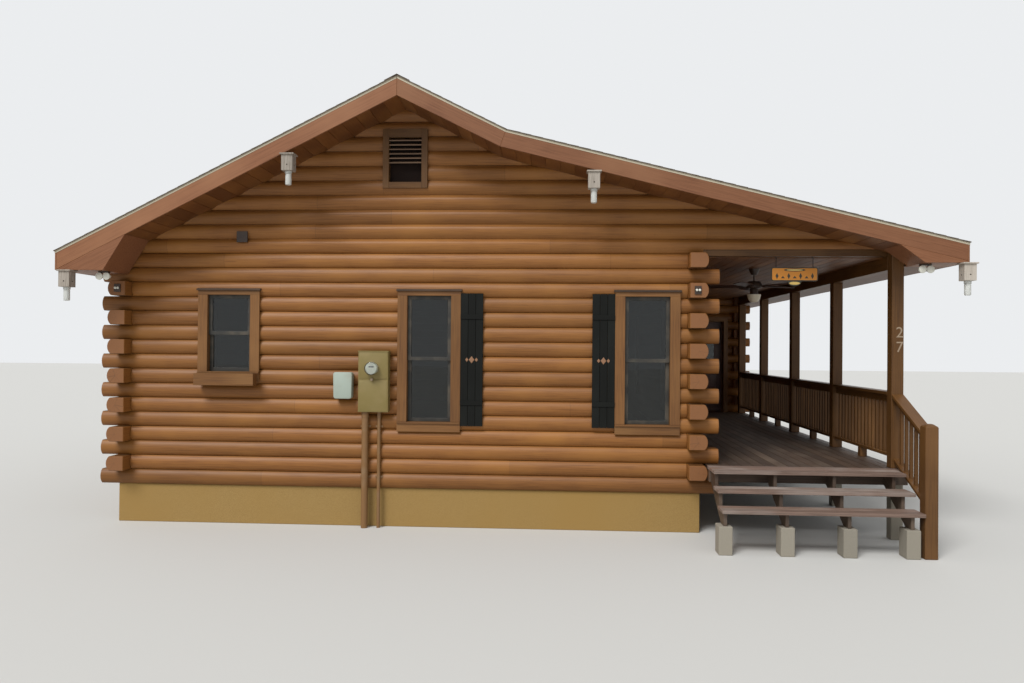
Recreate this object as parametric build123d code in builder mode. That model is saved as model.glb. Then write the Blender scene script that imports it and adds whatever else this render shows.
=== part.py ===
from build123d import *
from math import asin, ceil, cos, sin, sqrt
import os

os.makedirs("parts", exist_ok=True)

# Log cabin with a covered side porch. Millimetres, +Z up, +Y towards the back, +X to the right.
# X = 0 is under the ridge, Z = 0 is the lowest ground, and Y = 0 is the middle of the front
# foundation wall. Heights named "above deck" are measured from the porch deck and house floor.

# House
house_width = 7400
house_depth = 10970
porch_width = 2350
porch_length = 8320
deck_height = 855
joint = 0.5

# Logs
course = 184
courses = 16
courses_below_deck = 2
log_thickness = 184
log_bow = 40
log_bow_steps = 6
log_tail = 200

# Foundation and floor
foundation_thickness = 250
foundation_inset = 20
floor_gap = 0.5

# Roof
seat_width = 80
main_slope = 6 / 12
porch_slope = 3 / 12
roof_thickness = 200
eave_overhang = 460
porch_eave_overhang = 530
gable_overhang = 600
board = 20
soffit = 12
rake_lip = 6
shingle_thickness = 12
shingle_lip = 15
cap_half_width = 150
cap_thickness = 10
eave_drop = 16
return_width = 600
return_top_width = 870
porch_eave_drop = 28
porch_return_width = 490
porch_return_top_width = 770
pocket = 1

# Gable walls and vents
gable_thickness = 120
vent_width = 565
vent_height = 740
vent_below_ridge = 256
vent_border = 76
vent_depth = 60
vent_proud = 25
slat_count = 8
slat_thickness = 12
slat_height = 60

# Porch timber
post_size = 140
post_front = 150
bay = 2075
whole_bays = 3
beam_depth = 184
header_depth = 84
header_drop = 27
header_proud = 20
ceiling_above_deck = 2540
ceiling_thickness = 20
deck_board = 38
deck_nose = 280
deck_edge = 25
joist_depth = 140
joist_width = 38
joist_spacing = 406

# Stair
tread_depth = 300
tread_run = 250
tread_rise = 180
tread_count = 3
tread_thickness = 38
stringer_width = 38
stringer_count = 4
stringer_inset = 20
stringer_end_inset = 101
stringer_toe = 150
stringer_drop = 540
newel_front = 1050
newel_top = 580
newel_cap_rise = 30
newel_cap_top = 60
footing_width = 150
footing_margin = 30
stair_rail_top = 885
stair_rail_drop = 350
stair_rail_foot = 118

# Railings
rail_height = 910
rail_cap_width = 140
rail_thickness = 38
rail_depth = 89
rail_foot = 125
baluster = 38
baluster_pitch = 128
rail_block = 90

# Windows, heights above deck
window_width = 600
tall_sill = 445
short_sill = 1050
window_head = 2070
casing_side = 72
casing_head = 30
casing_foot = 98
casing_board = 25
window_cap = 30
window_cap_side = 15
window_cap_depth = 45
jamb = 25
sash_rail = 45
sash_thickness = 35
sash_face = 15
glass_thickness = 5
front_windows = ((-2235, short_sill), (319, tall_sill), (3024, tall_sill))
left_windows = ((2300, tall_sill), (5500, short_sill), (8700, tall_sill))
back_windows = ((-2300, tall_sill), (1200, short_sill), (4300, tall_sill))
porch_windows = ((2300, tall_sill), (6300, tall_sill))
rear_windows = ((9750, short_sill),)

# Shutters and window box
shutter_width = 280
shutter_height = 1650
shutter_bottom = 425
shutter_board = 25
batten_height = 60
batten_thickness = 12
batten_inset = 260
planter_width = 760
planter_height = 150
planter_bottom = 905
planter_depth = 150
planter_wall = 15

# Entry door
door_from_wall = 1470
door_width = 900
door_height = 2010
door_leaf = 45
door_clearance = 5
door_jamb = 35
door_stop = 12
door_casing = 90
door_threshold = 12
door_glass_width = 560
door_glass_height = 900
door_glass_bottom = 930
door_swing_offset = 10
hinge_heights = (250, 1000, 1750)
hinge_radius = 9
hinge_pin_radius = 5
hinge_clearance = 0.3
hinge_knuckle = 35
hinge_plate = 3
hinge_plate_width = 30
handle_height = 1000
handle_inset = 70
handle_radius = 11
handle_rose = 28
handle_rose_depth = 10
handle_reach = 55
handle_length = 115

# Services on the front wall, heights above deck
cabinet_left = -544
cabinet_width = 375
cabinet_bottom = 592
cabinet_height = 760
cabinet_depth = 120
cabinet_seam = 405
meter_radius = 92
meter_ring = 12
meter_depth = 100
meter_bevel = 20
meter_height = 1135
cable_box_left = -865
cable_box_width = 240
cable_box_bottom = 752
cable_box_height = 330
cable_box_depth = 110
conduit_x = -470
conduit_radius = 42
thin_conduit_x = -298
thin_conduit_radius = 22
cover_left = -2143
cover_bottom = 2711
cover_size = 138

# Porch fan, from the ceiling down
fan_back = 1495
fan_off_centre = 150
fan_canopy_radius = 75
fan_canopy_height = 85
fan_rod_radius = 10
fan_rotor_top = 175
fan_rotor_height = 100
fan_rotor_radius = 110
fan_running_gap = 0.3
fan_collar_radius = 58
fan_collar_height = 85
fan_bowl_radius = 95
fan_bowl_belly = 82
fan_bowl_belly_drop = 60
fan_bowl_foot = 40
fan_bowl_height = 110
blade_count = 5
blade_length = 540
blade_width = 125
blade_thickness = 8
blade_pitch = 12
blade_turn = 20

# Hanging sign
sign_from_wall = 834
sign_width = 565
sign_height = 170
sign_top = 2419
sign_thickness = 18
sign_corner = 25
sign_back = 40
sign_oval_width = 168
sign_oval_height = 62
hook_inset = 60
hook_drop = 15
hook_size = 8
hook_pin_radius = 3
hook_pin_length = 16
hook_clearance = 1
strap_width = 16
strap_thickness = 4

# Insect traps and lamps
trap_size = 135
trap_height = 205
trap_lid = 16
trap_lid_size = 170
trap_jar_radius = 40
trap_jar_height = 165
left_rake_trap = -1295
right_rake_trap = 2331
left_eave_trap_inset = 150
right_eave_trap_inset = 20
flood_plate = 60
flood_radius = 45
flood_length = 90
end_lamp_width = 80
end_lamp_height = 100
end_lamp_depth = 45

# Derived places
half = house_width / 2
front = -(foundation_inset + foundation_thickness / 2)
back = front + house_depth
porch_back = front + porch_length
right = half + porch_width
rear_wall_x = right - log_bow
log_base = deck_height - courses_below_deck * course
log_top = log_base + courses * course
log_height = course - joint
main_drop = roof_thickness * sqrt(1 + main_slope**2)
porch_drop = roof_thickness * sqrt(1 + porch_slope**2)
seat_x = half - seat_width
ridge_under = log_top + main_slope * seat_x
ridge_top = ridge_under + main_drop
porch_under_start = log_top + porch_slope * rear_wall_x
porch_top_start = porch_under_start + porch_drop
break_under = (ridge_under - porch_under_start) / (main_slope - porch_slope)
break_top = (ridge_top - porch_top_start) / (main_slope - porch_slope)
left_edge = half + eave_overhang - board
right_edge = right + porch_eave_overhang - board
roof_front = front - gable_overhang
roof_back = back + gable_overhang
post_x = right - post_size / 2
post_in = right - post_size
door_centre = half + door_from_wall
sign_left = half + sign_from_wall
wall_face = front - log_bow - joint
up = Vector(0, 0, 1)


def above(height):
    """Height above the deck as a height above the ground."""
    return deck_height + height


def main_under(x):
    """Underside of the main roof at a distance from the ridge."""
    return ridge_under - main_slope * x


def main_over(x):
    """Top of the main roof at a distance from the ridge."""
    return ridge_top - main_slope * x


def porch_under(x):
    """Underside of the porch roof."""
    return porch_under_start - porch_slope * x


def porch_over(x):
    """Top of the porch roof."""
    return porch_top_start - porch_slope * x


def block(x0, x1, y0, y1, z0, z1, mode=Mode.ADD):
    """Box between two corners, in the part that is being built."""
    with Locations(((x0 + x1) / 2, (y0 + y1) / 2, (z0 + z1) / 2)):
        Box(x1 - x0, y1 - y0, z1 - z0, mode=mode)


def outline(plane, points):
    """Closed straight-sided face on a plane."""
    with BuildSketch(plane) as sketch:
        with BuildLine():
            Polyline(*points, close=True)
        make_face()
    return sketch.sketch


def front_outline(y, points):
    """Face seen from the front, facing the back, at one distance back."""
    plane = Plane(origin=(0, y, 0), x_dir=(-1, 0, 0), z_dir=(0, 1, 0))
    return outline(plane, [(-x, z) for x, z in points])


def side_outline(x, points):
    """Face seen from the side, facing right, from (y, z) points."""
    return outline(Plane(origin=(x, 0, 0), x_dir=(0, 1, 0), z_dir=(1, 0, 0)), points)


def save(name, built):
    """Label a finished piece and write it."""
    built.part.label = name
    export_step(built.part, f"parts/{name}.step")


# Log walls. A wall's plane has x inwards, y up and z along the run of its logs.
front_plane = Plane(origin=(0, front, log_base), x_dir=(0, 1, 0), z_dir=(1, 0, 0))
back_plane = Plane(origin=(0, back, log_base), x_dir=(0, -1, 0), z_dir=(-1, 0, 0))
porch_end_plane = Plane(origin=(0, porch_back, log_base), x_dir=(0, 1, 0), z_dir=(1, 0, 0))
left_plane = Plane(origin=(-half, 0, log_base), x_dir=(1, 0, 0), z_dir=(0, -1, 0))
porch_side_plane = Plane(origin=(half, 0, log_base), x_dir=(-1, 0, 0), z_dir=(0, 1, 0))
rear_side_plane = Plane(origin=(rear_wall_x, 0, log_base), x_dir=(-1, 0, 0), z_dir=(0, 1, 0))


def bow(low, high):
    """Points up a log's bowed face, on an arc but in a few flat steps."""
    reach = (high - low) / 2
    radius = (reach**2 + log_bow**2) / (2 * log_bow)
    lean = asin(reach / radius)
    turns = [lean * (2 * step / log_bow_steps - 1) for step in range(log_bow_steps + 1)]
    return [(radius - log_bow - radius * cos(turn), low + reach + radius * sin(turn))
            for turn in turns]


def log_end(wall, along, level):
    """D-shaped end of one log: flat inside, bowed outside."""
    origin = wall.origin + wall.z_dir * along + up * level * course
    plane = Plane(origin=origin, x_dir=wall.x_dir, z_dir=wall.z_dir)
    return outline(plane, [*bow(0, log_height), (log_thickness, log_height), (log_thickness, 0)])


def stack_logs(wall, even, odd):
    """All courses of one wall, with one span for even and one for odd courses."""
    for level in range(courses):
        start, end = even if level % 2 == 0 else odd
        extrude(log_end(wall, start, level), amount=end - start)


def cut_across(centre, y, width, low, high):
    """Opening through a wall that runs along X."""
    reach = 2 * log_thickness
    block(centre - width / 2, centre + width / 2, y - reach, y + reach,
          above(low), above(high), mode=Mode.SUBTRACT)


def cut_along(x, centre, width, low, high):
    """Opening through a wall that runs along Y."""
    reach = 2 * log_thickness
    block(x - reach, x + reach, front + centre - width / 2, front + centre + width / 2,
          above(low), above(high), mode=Mode.SUBTRACT)


# Front wall
with BuildPart() as front_wall:
    stack_logs(
        front_plane,
        (-half - log_tail, half + log_tail),
        (-half + log_thickness, half - log_thickness),
    )
    for centre, sill in front_windows:
        cut_across(centre, front, window_width, sill, window_head)
save("front_wall", front_wall)

# Back wall
with BuildPart() as back_wall:
    stack_logs(
        back_plane,
        (-rear_wall_x - log_tail, half + log_tail),
        (-rear_wall_x + log_thickness, half - log_thickness),
    )
    for centre, sill in back_windows:
        cut_across(centre, back, window_width, sill, window_head)
save("back_wall", back_wall)

# Left wall
with BuildPart() as left_wall:
    stack_logs(
        left_plane,
        (-back + log_thickness, -front - log_thickness),
        (-back - log_tail, -front + log_tail),
    )
    for centre, sill in left_windows:
        cut_along(-half, centre, window_width, sill, window_head)
save("left_wall", left_wall)

# Wall beside the porch
with BuildPart() as porch_side_wall:
    stack_logs(
        porch_side_plane,
        (front + log_thickness, porch_back - log_bow),
        (front - log_tail, porch_back + log_thickness),
    )
    for centre, sill in porch_windows:
        cut_along(half, centre, window_width, sill, window_head)
save("porch_side_wall", porch_side_wall)

# Wall at the end of the porch, with the doorway
doorway_width = door_width + 2 * (door_clearance + door_jamb)
doorway_head = door_height + door_threshold + door_clearance + door_jamb
with BuildPart() as porch_end_wall:
    stack_logs(
        porch_end_plane,
        (half - log_thickness, rear_wall_x + log_tail),
        (half + log_bow, rear_wall_x - log_thickness),
    )
    cut_across(door_centre, porch_back, doorway_width, 0, doorway_head)
save("porch_end_wall", porch_end_wall)

# Short side wall behind the porch
with BuildPart() as rear_side_wall:
    stack_logs(
        rear_side_plane,
        (porch_back + log_thickness, back - log_thickness),
        (porch_back - log_tail, back + log_tail),
    )
    for centre, sill in rear_windows:
        cut_along(rear_wall_x, centre, window_width, sill, window_head)
save("rear_side_wall", rear_side_wall)

# Foundation
inset = foundation_inset
depth = foundation_inset + foundation_thickness
with BuildPart() as foundation:
    block(-half + inset, half - inset, front + inset, front + depth, 0, log_base)
    block(-half + inset, rear_wall_x - inset, back - depth, back - inset, 0, log_base)
    block(-half + inset, -half + depth, front + depth + joint, back - depth - joint, 0, log_base)
    block(half - depth, half - inset, front + depth + joint, porch_back + inset - joint, 0, log_base)
    block(half - depth, rear_wall_x - inset, porch_back + inset, porch_back + depth, 0, log_base)
    block(rear_wall_x - depth, rear_wall_x - inset, porch_back + depth + joint,
          back - depth - joint, 0, log_base)
save("foundation", foundation)

# Floor inside the log walls
with BuildPart() as floor:
    wall_gap = log_thickness + floor_gap
    with BuildSketch(Plane.XY.offset(log_base)):
        with BuildLine():
            Polyline(
                (-half + wall_gap, front + wall_gap),
                (half - wall_gap, front + wall_gap),
                (half - wall_gap, porch_back + wall_gap),
                (rear_wall_x - wall_gap, porch_back + wall_gap),
                (rear_wall_x - wall_gap, back - wall_gap),
                (-half + wall_gap, back - wall_gap),
                close=True,
            )
        make_face()
    extrude(amount=deck_height - log_base)
save("floor", floor)

# Gable walls: half-log siding on a framed wall, cut to the roof's underside
header_bottom = log_top - header_drop
header_top = header_bottom + header_depth
gable_levels = ceil((ridge_under - log_top) / course)


def siding(plane, run):
    """Bowed siding courses above the logs, as long as the run."""
    points = [(gable_thickness, 0), (0, 0)]
    for level in range(gable_levels):
        points += bow(level * course, (level + 1) * course)[1:]
    points.append((gable_thickness, gable_levels * course))
    extrude(outline(plane, points), amount=run)


vent_top = ridge_under - vent_below_ridge
vent_bottom = vent_top - vent_height


def vent_opening(y):
    """Hole for a gable vent."""
    reach = 2 * gable_thickness
    block(-vent_width / 2, vent_width / 2, y - reach, y + reach, vent_bottom, vent_top,
          mode=Mode.SUBTRACT)


with BuildPart() as front_gable:
    siding(Plane(origin=(-half, front, log_top), x_dir=(0, 1, 0), z_dir=(1, 0, 0)), half + right)
    low = log_top + joint
    porch_low = header_top + joint
    shape = front_outline(front - 2 * log_bow, (
        (-(ridge_under - low) / main_slope, low),
        (half, low),
        (half, porch_low),
        ((porch_under_start - porch_low) / porch_slope, porch_low),
        (break_under, main_under(break_under)),
        (0, ridge_under),
    ))
    extrude(shape, amount=gable_thickness + 4 * log_bow, mode=Mode.INTERSECT)
    vent_opening(front)

with BuildPart() as back_gable:
    siding(Plane(origin=(right, back, log_top), x_dir=(0, -1, 0), z_dir=(-1, 0, 0)), half + right)
    low = log_top + joint
    shape = front_outline(back - gable_thickness - 2 * log_bow, (
        (-(ridge_under - low) / main_slope, low),
        ((porch_under_start - low) / porch_slope, low),
        (break_under, main_under(break_under)),
        (0, ridge_under),
    ))
    extrude(shape, amount=gable_thickness + 4 * log_bow, mode=Mode.INTERSECT)
    vent_opening(back)

with BuildPart() as gable_walls:
    add(front_gable)
    add(back_gable)
save("gable_walls", gable_walls)

# Louvred vents in the gables, and the cover of a small vent in the front gable
with BuildPart() as gable_vents:
    for y, way in ((front, 1), (back, -1)):
        face = y - way * (log_bow + vent_proud)
        plane = Plane(origin=(0, face, vent_bottom), x_dir=(way, 0, 0), z_dir=(0, -way, 0))
        with BuildSketch(plane.offset(-vent_depth - log_bow)) as border:
            with Locations((0, vent_height / 2)):
                Rectangle(vent_width - 2 * joint, vent_height - 2 * joint)
                Rectangle(vent_width - 2 * vent_border, vent_height - 2 * vent_border,
                          mode=Mode.SUBTRACT)
        extrude(border.sketch, amount=vent_depth + log_bow)
        slat_pitch = (vent_height - 2 * vent_border - slat_thickness) / slat_count
        slat_end = vent_border - slat_thickness
        for slat in range(slat_count):
            base = vent_bottom + vent_border + slat_thickness / 2 + slat * slat_pitch
            slope = side_outline(-vent_width / 2 + slat_end, (
                (face + way * slat_height, base + slat_pitch - slat_thickness),
                (face + way * slat_height, base + slat_pitch),
                (face + way * slat_thickness, base + slat_thickness),
                (face + way * slat_thickness, base),
            ))
            extrude(slope, amount=vent_width - 2 * slat_end)
    block(cover_left, cover_left + cover_size, wall_face - board, wall_face, above(cover_bottom),
          above(cover_bottom) + cover_size)
save("gable_vents", gable_vents)

# Roof: left slope, right slope and the flatter slope over the porch
roof_length = roof_back - roof_front
with BuildPart() as roof_slopes:
    extrude(front_outline(roof_front, (
        (-joint / 2, main_under(joint / 2)), (-joint / 2, main_over(joint / 2)),
        (-left_edge, main_over(left_edge)), (-left_edge, main_under(left_edge)),
    )), amount=roof_length)
    block(-half - log_bow - pocket, -seat_x, front - log_tail - pocket, back + log_tail + pocket,
          log_top - 2 * main_drop, log_top, mode=Mode.SUBTRACT)
    extrude(front_outline(roof_front, (
        (joint / 2, main_under(joint / 2)), (break_under, main_under(break_under)),
        (break_top, main_over(break_top)), (joint / 2, main_over(joint / 2)),
    )), amount=roof_length)
    extrude(front_outline(roof_front, (
        (break_under + joint, porch_under(break_under + joint)),
        (right_edge, porch_under(right_edge)), (right_edge, porch_over(right_edge)),
        (break_top + joint, porch_over(break_top + joint)),
    )), amount=roof_length)
save("roof_slopes", roof_slopes)

# Shingles and ridge cap
main_skin = shingle_thickness * sqrt(1 + main_slope**2)
porch_skin = shingle_thickness * sqrt(1 + porch_slope**2)
cap_skin = cap_thickness * sqrt(1 + main_slope**2)
shingle_front = roof_front - board - shingle_lip
shingle_run = roof_length + 2 * (board + shingle_lip)
left_drip = left_edge + board + shingle_lip
right_drip = right_edge + board + shingle_lip
break_skin = (ridge_top + main_skin - porch_top_start - porch_skin) / (main_slope - porch_slope)
with BuildPart() as shingles:
    extrude(front_outline(shingle_front, (
        (-joint / 2, main_over(joint / 2)), (-joint / 2, main_over(joint / 2) + main_skin),
        (-left_drip, main_over(left_drip) + main_skin), (-left_drip, main_over(left_drip)),
    )), amount=shingle_run)
    extrude(front_outline(shingle_front, (
        (joint / 2, main_over(joint / 2)), (break_top, main_over(break_top)),
        (break_skin, main_over(break_skin) + main_skin), (joint / 2, main_over(joint / 2) + main_skin),
    )), amount=shingle_run)
    extrude(front_outline(shingle_front, (
        (break_top + joint, porch_over(break_top + joint)),
        (right_drip, porch_over(right_drip)),
        (right_drip, porch_over(right_drip) + porch_skin),
        (break_skin + joint, porch_over(break_skin + joint) + porch_skin),
    )), amount=shingle_run)
    cap_low = ridge_top + main_skin + joint
    cap_fall = main_slope * cap_half_width
    extrude(front_outline(shingle_front, (
        (0, cap_low), (cap_half_width, cap_low - cap_fall),
        (cap_half_width, cap_low - cap_fall + cap_skin), (0, cap_low + cap_skin),
        (-cap_half_width, cap_low - cap_fall + cap_skin), (-cap_half_width, cap_low - cap_fall),
    )), amount=shingle_run)
save("shingles", shingles)

# Roof trim: rake boards, fascias along the eaves, and the boxed returns at their four ends
return_low = main_under(left_edge) - eave_drop
porch_return_low = porch_under(right_edge) - porch_eave_drop
return_out = left_edge - joint
return_in = left_edge + board - return_width
return_peak = left_edge + board - return_top_width
porch_return_out = right_edge - joint
porch_return_in = right_edge + board - porch_return_width
porch_return_peak = right_edge + board - porch_return_top_width
return_gap = rake_lip + joint
with BuildPart() as roof_trim:
    for y in (roof_front - board, roof_back):
        extrude(front_outline(y, (
            (-joint / 2, ridge_under - rake_lip), (-joint / 2, main_over(joint / 2)),
            (-return_out, main_over(return_out)), (-return_out, main_under(return_out) - rake_lip),
        )), amount=board)
        extrude(front_outline(y, (
            (joint / 2, ridge_under - rake_lip),
            (break_under, main_under(break_under) - rake_lip),
            (break_top, main_over(break_top)), (joint / 2, main_over(joint / 2)),
        )), amount=board)
        extrude(front_outline(y, (
            (break_under + joint, porch_under(break_under + joint) - rake_lip),
            (porch_return_out, porch_under(porch_return_out) - rake_lip),
            (porch_return_out, porch_over(porch_return_out)),
            (break_top + joint, porch_over(break_top + joint)),
        )), amount=board)
    block(-left_edge - board, -left_edge, roof_front - board, roof_back + board,
          return_low, main_over(left_edge + board))
    block(right_edge, right_edge + board, roof_front - board, roof_back + board,
          porch_return_low, porch_over(right_edge + board))
    left_return = (
        (-return_out, return_low), (-return_in, return_low),
        (-return_peak, main_under(return_peak) - return_gap),
        (-return_out, main_under(return_out) - return_gap),
    )
    porch_return = (
        (porch_return_out, porch_return_low), (porch_return_in, porch_return_low),
        (porch_return_peak, porch_under(porch_return_peak) - return_gap),
        (porch_return_out, porch_under(porch_return_out) - return_gap),
    )
    box_run = gable_overhang + board - log_bow - pocket
    extrude(front_outline(roof_front - board, left_return), amount=box_run)
    extrude(front_outline(roof_back + board - box_run, left_return), amount=box_run)
    extrude(front_outline(roof_front - board, porch_return),
            amount=gable_overhang + board - post_front - pocket)
    extrude(front_outline(roof_back + board - box_run, porch_return), amount=box_run)
    tail_low = log_top - course - pocket
    for x0, x1 in ((-half - log_bow, -half + log_thickness), (rear_wall_x - log_thickness, right)):
        block(x0 - pocket, x1 + pocket, back, back + log_tail + pocket,
              tail_low, log_top + pocket, mode=Mode.SUBTRACT)
    block(-half - log_bow - pocket, -half + log_thickness + pocket, front - log_tail - pocket, front,
          tail_low, log_top + pocket, mode=Mode.SUBTRACT)
save("roof_trim", roof_trim)

# Flat soffits under both eaves, and the porch ceiling
ceiling = above(ceiling_above_deck)
with BuildPart() as ceiling_panels:
    block(-left_edge + joint, -half - log_bow - joint, wall_face + joint, back + log_bow,
          return_low, return_low + soffit)
    block(right + joint, right_edge - joint, front - post_front + joint, back + log_bow,
          porch_return_low, porch_return_low + soffit)
    tail_in = half + log_bow
    for y in (front + (log_thickness - log_bow) / 2, back - (log_thickness - log_bow) / 2):
        wide = log_thickness / 2 + log_bow / 2 + pocket
        block(-half - log_tail - pocket, -tail_in + pocket, y - wide, y + wide,
              return_low - course, return_low + course, mode=Mode.SUBTRACT)
    block(half + log_bow + joint, post_in, front + gable_thickness, porch_back - log_bow - joint,
          ceiling, ceiling + ceiling_thickness)
    block(rear_wall_x - log_thickness - pocket, right, porch_back - log_tail - pocket, porch_back,
          ceiling - course, ceiling + course, mode=Mode.SUBTRACT)
save("ceiling_panels", ceiling_panels)

# Porch header and side beam
header_end = post_in - joint
header_slope = (porch_under_start - header_top) / porch_slope
beam_bottom = porch_under(right) - beam_depth
beam_end = porch_back - log_tail
beam_start = front - post_front + post_size
with BuildPart() as porch_beams:
    extrude(front_outline(front - header_proud, (
        (half + log_bow, header_bottom), (header_end, header_bottom),
        (header_end, porch_under(header_end)), (header_slope, header_top),
        (half + log_bow, header_top),
    )), amount=header_proud + gable_thickness)
    extrude(front_outline(beam_start, (
        (post_in, beam_bottom), (right, beam_bottom),
        (right, porch_under(right)), (post_in, porch_under(post_in)),
    )), amount=beam_end - beam_start)
save("porch_beams", porch_beams)

# Porch posts and the stair's newel post
newel_y = front - newel_front
last_post = porch_back - log_tail - joint - post_size
post_places = [front - post_front + n * bay for n in range(whole_bays + 1)] + [last_post]
with BuildPart() as porch_posts:
    corner = post_places[0]
    extrude(front_outline(corner, (
        (post_in, deck_height), (right, deck_height),
        (right, porch_under(right)), (post_in, porch_under(post_in)),
    )), amount=post_size)
    for y in post_places[1:]:
        block(post_in, right, y, y + post_size, deck_height, beam_bottom)
    block(post_in, right, newel_y, newel_y + post_size, 0, above(newel_top))
    with BuildSketch(Plane(origin=(post_x, newel_y + post_size / 2, above(newel_top)))):
        Rectangle(post_size, post_size)
    with BuildSketch(Plane(origin=(post_x, newel_y + post_size / 2,
                                   above(newel_top + newel_cap_rise)))):
        Rectangle(newel_cap_top, newel_cap_top)
    loft()
save("porch_posts", porch_posts)

# Deck
deck_left = half + log_bow + joint
deck_front = front - deck_nose
deck_back = porch_back - log_bow - joint
deck_under = deck_height - deck_board
with BuildPart() as deck:
    block(deck_left, right + deck_edge, deck_front, deck_back, deck_under, deck_height)
    block(rear_wall_x - log_thickness - pocket, right + pocket, porch_back - log_tail - pocket,
          porch_back, deck_under - course, deck_height + course, mode=Mode.SUBTRACT)
save("deck", deck)

frame_low = deck_under - joist_depth
rim_back = deck_front + joist_width
with BuildPart() as deck_frame:
    block(deck_left, right, deck_front, rim_back, frame_low, deck_under)
    block(deck_left, deck_left + joist_width, rim_back + joint, deck_back, frame_low, deck_under)
    block(right - joist_width, right, rim_back + joint, porch_back - log_tail - pocket,
          frame_low, deck_under)
    joist_y = rim_back + joist_spacing
    while joist_y + joist_width < porch_back - log_tail - pocket:
        block(deck_left + joist_width + joint, right - joist_width - joint, joist_y,
              joist_y + joist_width, frame_low, deck_under)
        joist_y += joist_spacing
save("deck_frame", deck_frame)


# Stair
tread_right = post_in - joint
with BuildPart() as stair_treads:
    for n in range(tread_count):
        tread_back = deck_front - n * tread_run
        top = deck_height - n * tread_rise
        block(deck_left, tread_right, tread_back - tread_depth, tread_back - joint,
              top - tread_thickness, top)
save("stair_treads", stair_treads)

string_first = deck_left + stringer_inset
string_last = tread_right - stringer_end_inset - stringer_width
string_step = (string_last - string_first) / (stringer_count - 1)
string_places = [string_first + n * string_step for n in range(stringer_count)]
string_low = above(-stringer_drop)
string_toe = deck_front - tread_count * tread_run
with BuildPart() as stair_stringers:
    steps = [(deck_front, frame_low), (deck_front, deck_under)]
    for n in range(tread_count):
        height = deck_height - n * tread_rise - tread_thickness
        if n:
            steps.append((deck_front - n * tread_run, height))
        steps.append((deck_front - (n + 1) * tread_run, height))
    steps += [(string_toe, string_low), (string_toe + stringer_toe, string_low)]
    for x in string_places:
        extrude(side_outline(x, steps), amount=stringer_width)
save("stair_stringers", stair_stringers)

# Piers under the deck's posts and footings under the stringers
with BuildPart() as piers:
    for y in post_places:
        block(post_in, right, y, y + post_size, 0, frame_low)
    for x in string_places:
        middle = x + stringer_width / 2
        block(middle - footing_width / 2, middle + footing_width / 2,
              string_toe - footing_margin, string_toe + stringer_toe + footing_margin,
              0, string_low)
save("piers", piers)

# Sloping stair rail between the corner post and the newel
rail_near = front - post_front
rail_far = newel_y + post_size
rail_fall = stair_rail_drop / (rail_near - rail_far)


def stair_line(start, y):
    """Height of a sloping stair rail line at a distance back."""
    return above(start) - rail_fall * (rail_near - y)


def sloping(x, width, y0, y1, low, high):
    """Piece of the stair rail between two sloping lines."""
    extrude(side_outline(x - width / 2, (
        (y0, stair_line(low, y0)), (y1, stair_line(low, y1)),
        (y1, stair_line(high, y1)), (y0, stair_line(high, y0)),
    )), amount=width)


hand_low = stair_rail_top - rail_thickness
with BuildPart() as stair_rail:
    sloping(post_x, rail_cap_width, rail_far, rail_near, hand_low, stair_rail_top)
    sloping(post_x, rail_thickness, rail_far, rail_near, hand_low - rail_depth, hand_low)
    sloping(post_x, rail_depth, rail_far, rail_near, stair_rail_foot - rail_thickness,
            stair_rail_foot)
    count = int((rail_near - rail_far) / baluster_pitch)
    spacing = (rail_near - rail_far) / (count + 1)
    for n in range(count):
        y = rail_far + (n + 1) * spacing
        sloping(post_x, baluster, y - baluster / 2, y + baluster / 2, stair_rail_foot,
                hand_low - rail_depth)
save("stair_rail", stair_rail)

# Porch railing, one panel a bay
for number in range(len(post_places) - 1):
    y0 = post_places[number] + post_size
    y1 = post_places[number + 1]
    cap_low = above(rail_height - rail_thickness)
    foot = above(rail_foot)
    with BuildPart() as porch_railing:
        block(post_in, right, y0, y1, cap_low, cap_low + rail_thickness)
        block(post_x - rail_thickness / 2, post_x + rail_thickness / 2, y0, y1,
              cap_low - rail_depth, cap_low)
        block(post_x - rail_depth / 2, post_x + rail_depth / 2, y0, y1, foot,
              foot + rail_thickness)
        middle = (y0 + y1) / 2
        block(post_x - rail_depth / 2, post_x + rail_depth / 2, middle - rail_block / 2,
              middle + rail_block / 2, deck_height, foot)
        count = int((y1 - y0) / baluster_pitch)
        spacing = (y1 - y0) / (count + 1)
        for n in range(count):
            y = y0 + (n + 1) * spacing
            block(post_x - baluster / 2, post_x + baluster / 2, y - baluster / 2,
                  y + baluster / 2, foot + rail_thickness, cap_low - rail_depth)
    save(f"porch_railing_{number + 1}", porch_railing)

# Windows. An opening's plane has x along the wall, y up from the deck and z outwards.


def opening_plane(x, y, outward):
    """Plane on a wall's face, at deck height below an opening's centre."""
    return Plane(origin=(x, y, deck_height), x_dir=up.cross(Vector(*outward)), z_dir=outward)


windows = [(opening_plane(x, front, (0, -1, 0)), sill) for x, sill in front_windows]
windows += [(opening_plane(x, back, (0, 1, 0)), sill) for x, sill in back_windows]
windows += [(opening_plane(-half, front + y, (-1, 0, 0)), sill) for y, sill in left_windows]
windows += [(opening_plane(half, front + y, (1, 0, 0)), sill) for y, sill in porch_windows]
windows += [(opening_plane(rear_wall_x, front + y, (1, 0, 0)), sill) for y, sill in rear_windows]


def ring(plane, width, low, high, side, foot, head):
    """Rectangular frame round an opening."""
    with BuildSketch(plane) as frame:
        with Locations((0, (low - foot + high + head) / 2)):
            Rectangle(width + 2 * side, high + head - low + foot)
        with Locations((0, (low + high) / 2)):
            Rectangle(width, high - low, mode=Mode.SUBTRACT)
    return frame.sketch


def panel(plane, width, low, high):
    """Rectangle standing on a wall's plane, centred on it."""
    with BuildSketch(plane) as sheet:
        with Locations((0, (low + high) / 2)):
            Rectangle(width, high - low)
    return sheet.sketch


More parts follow.
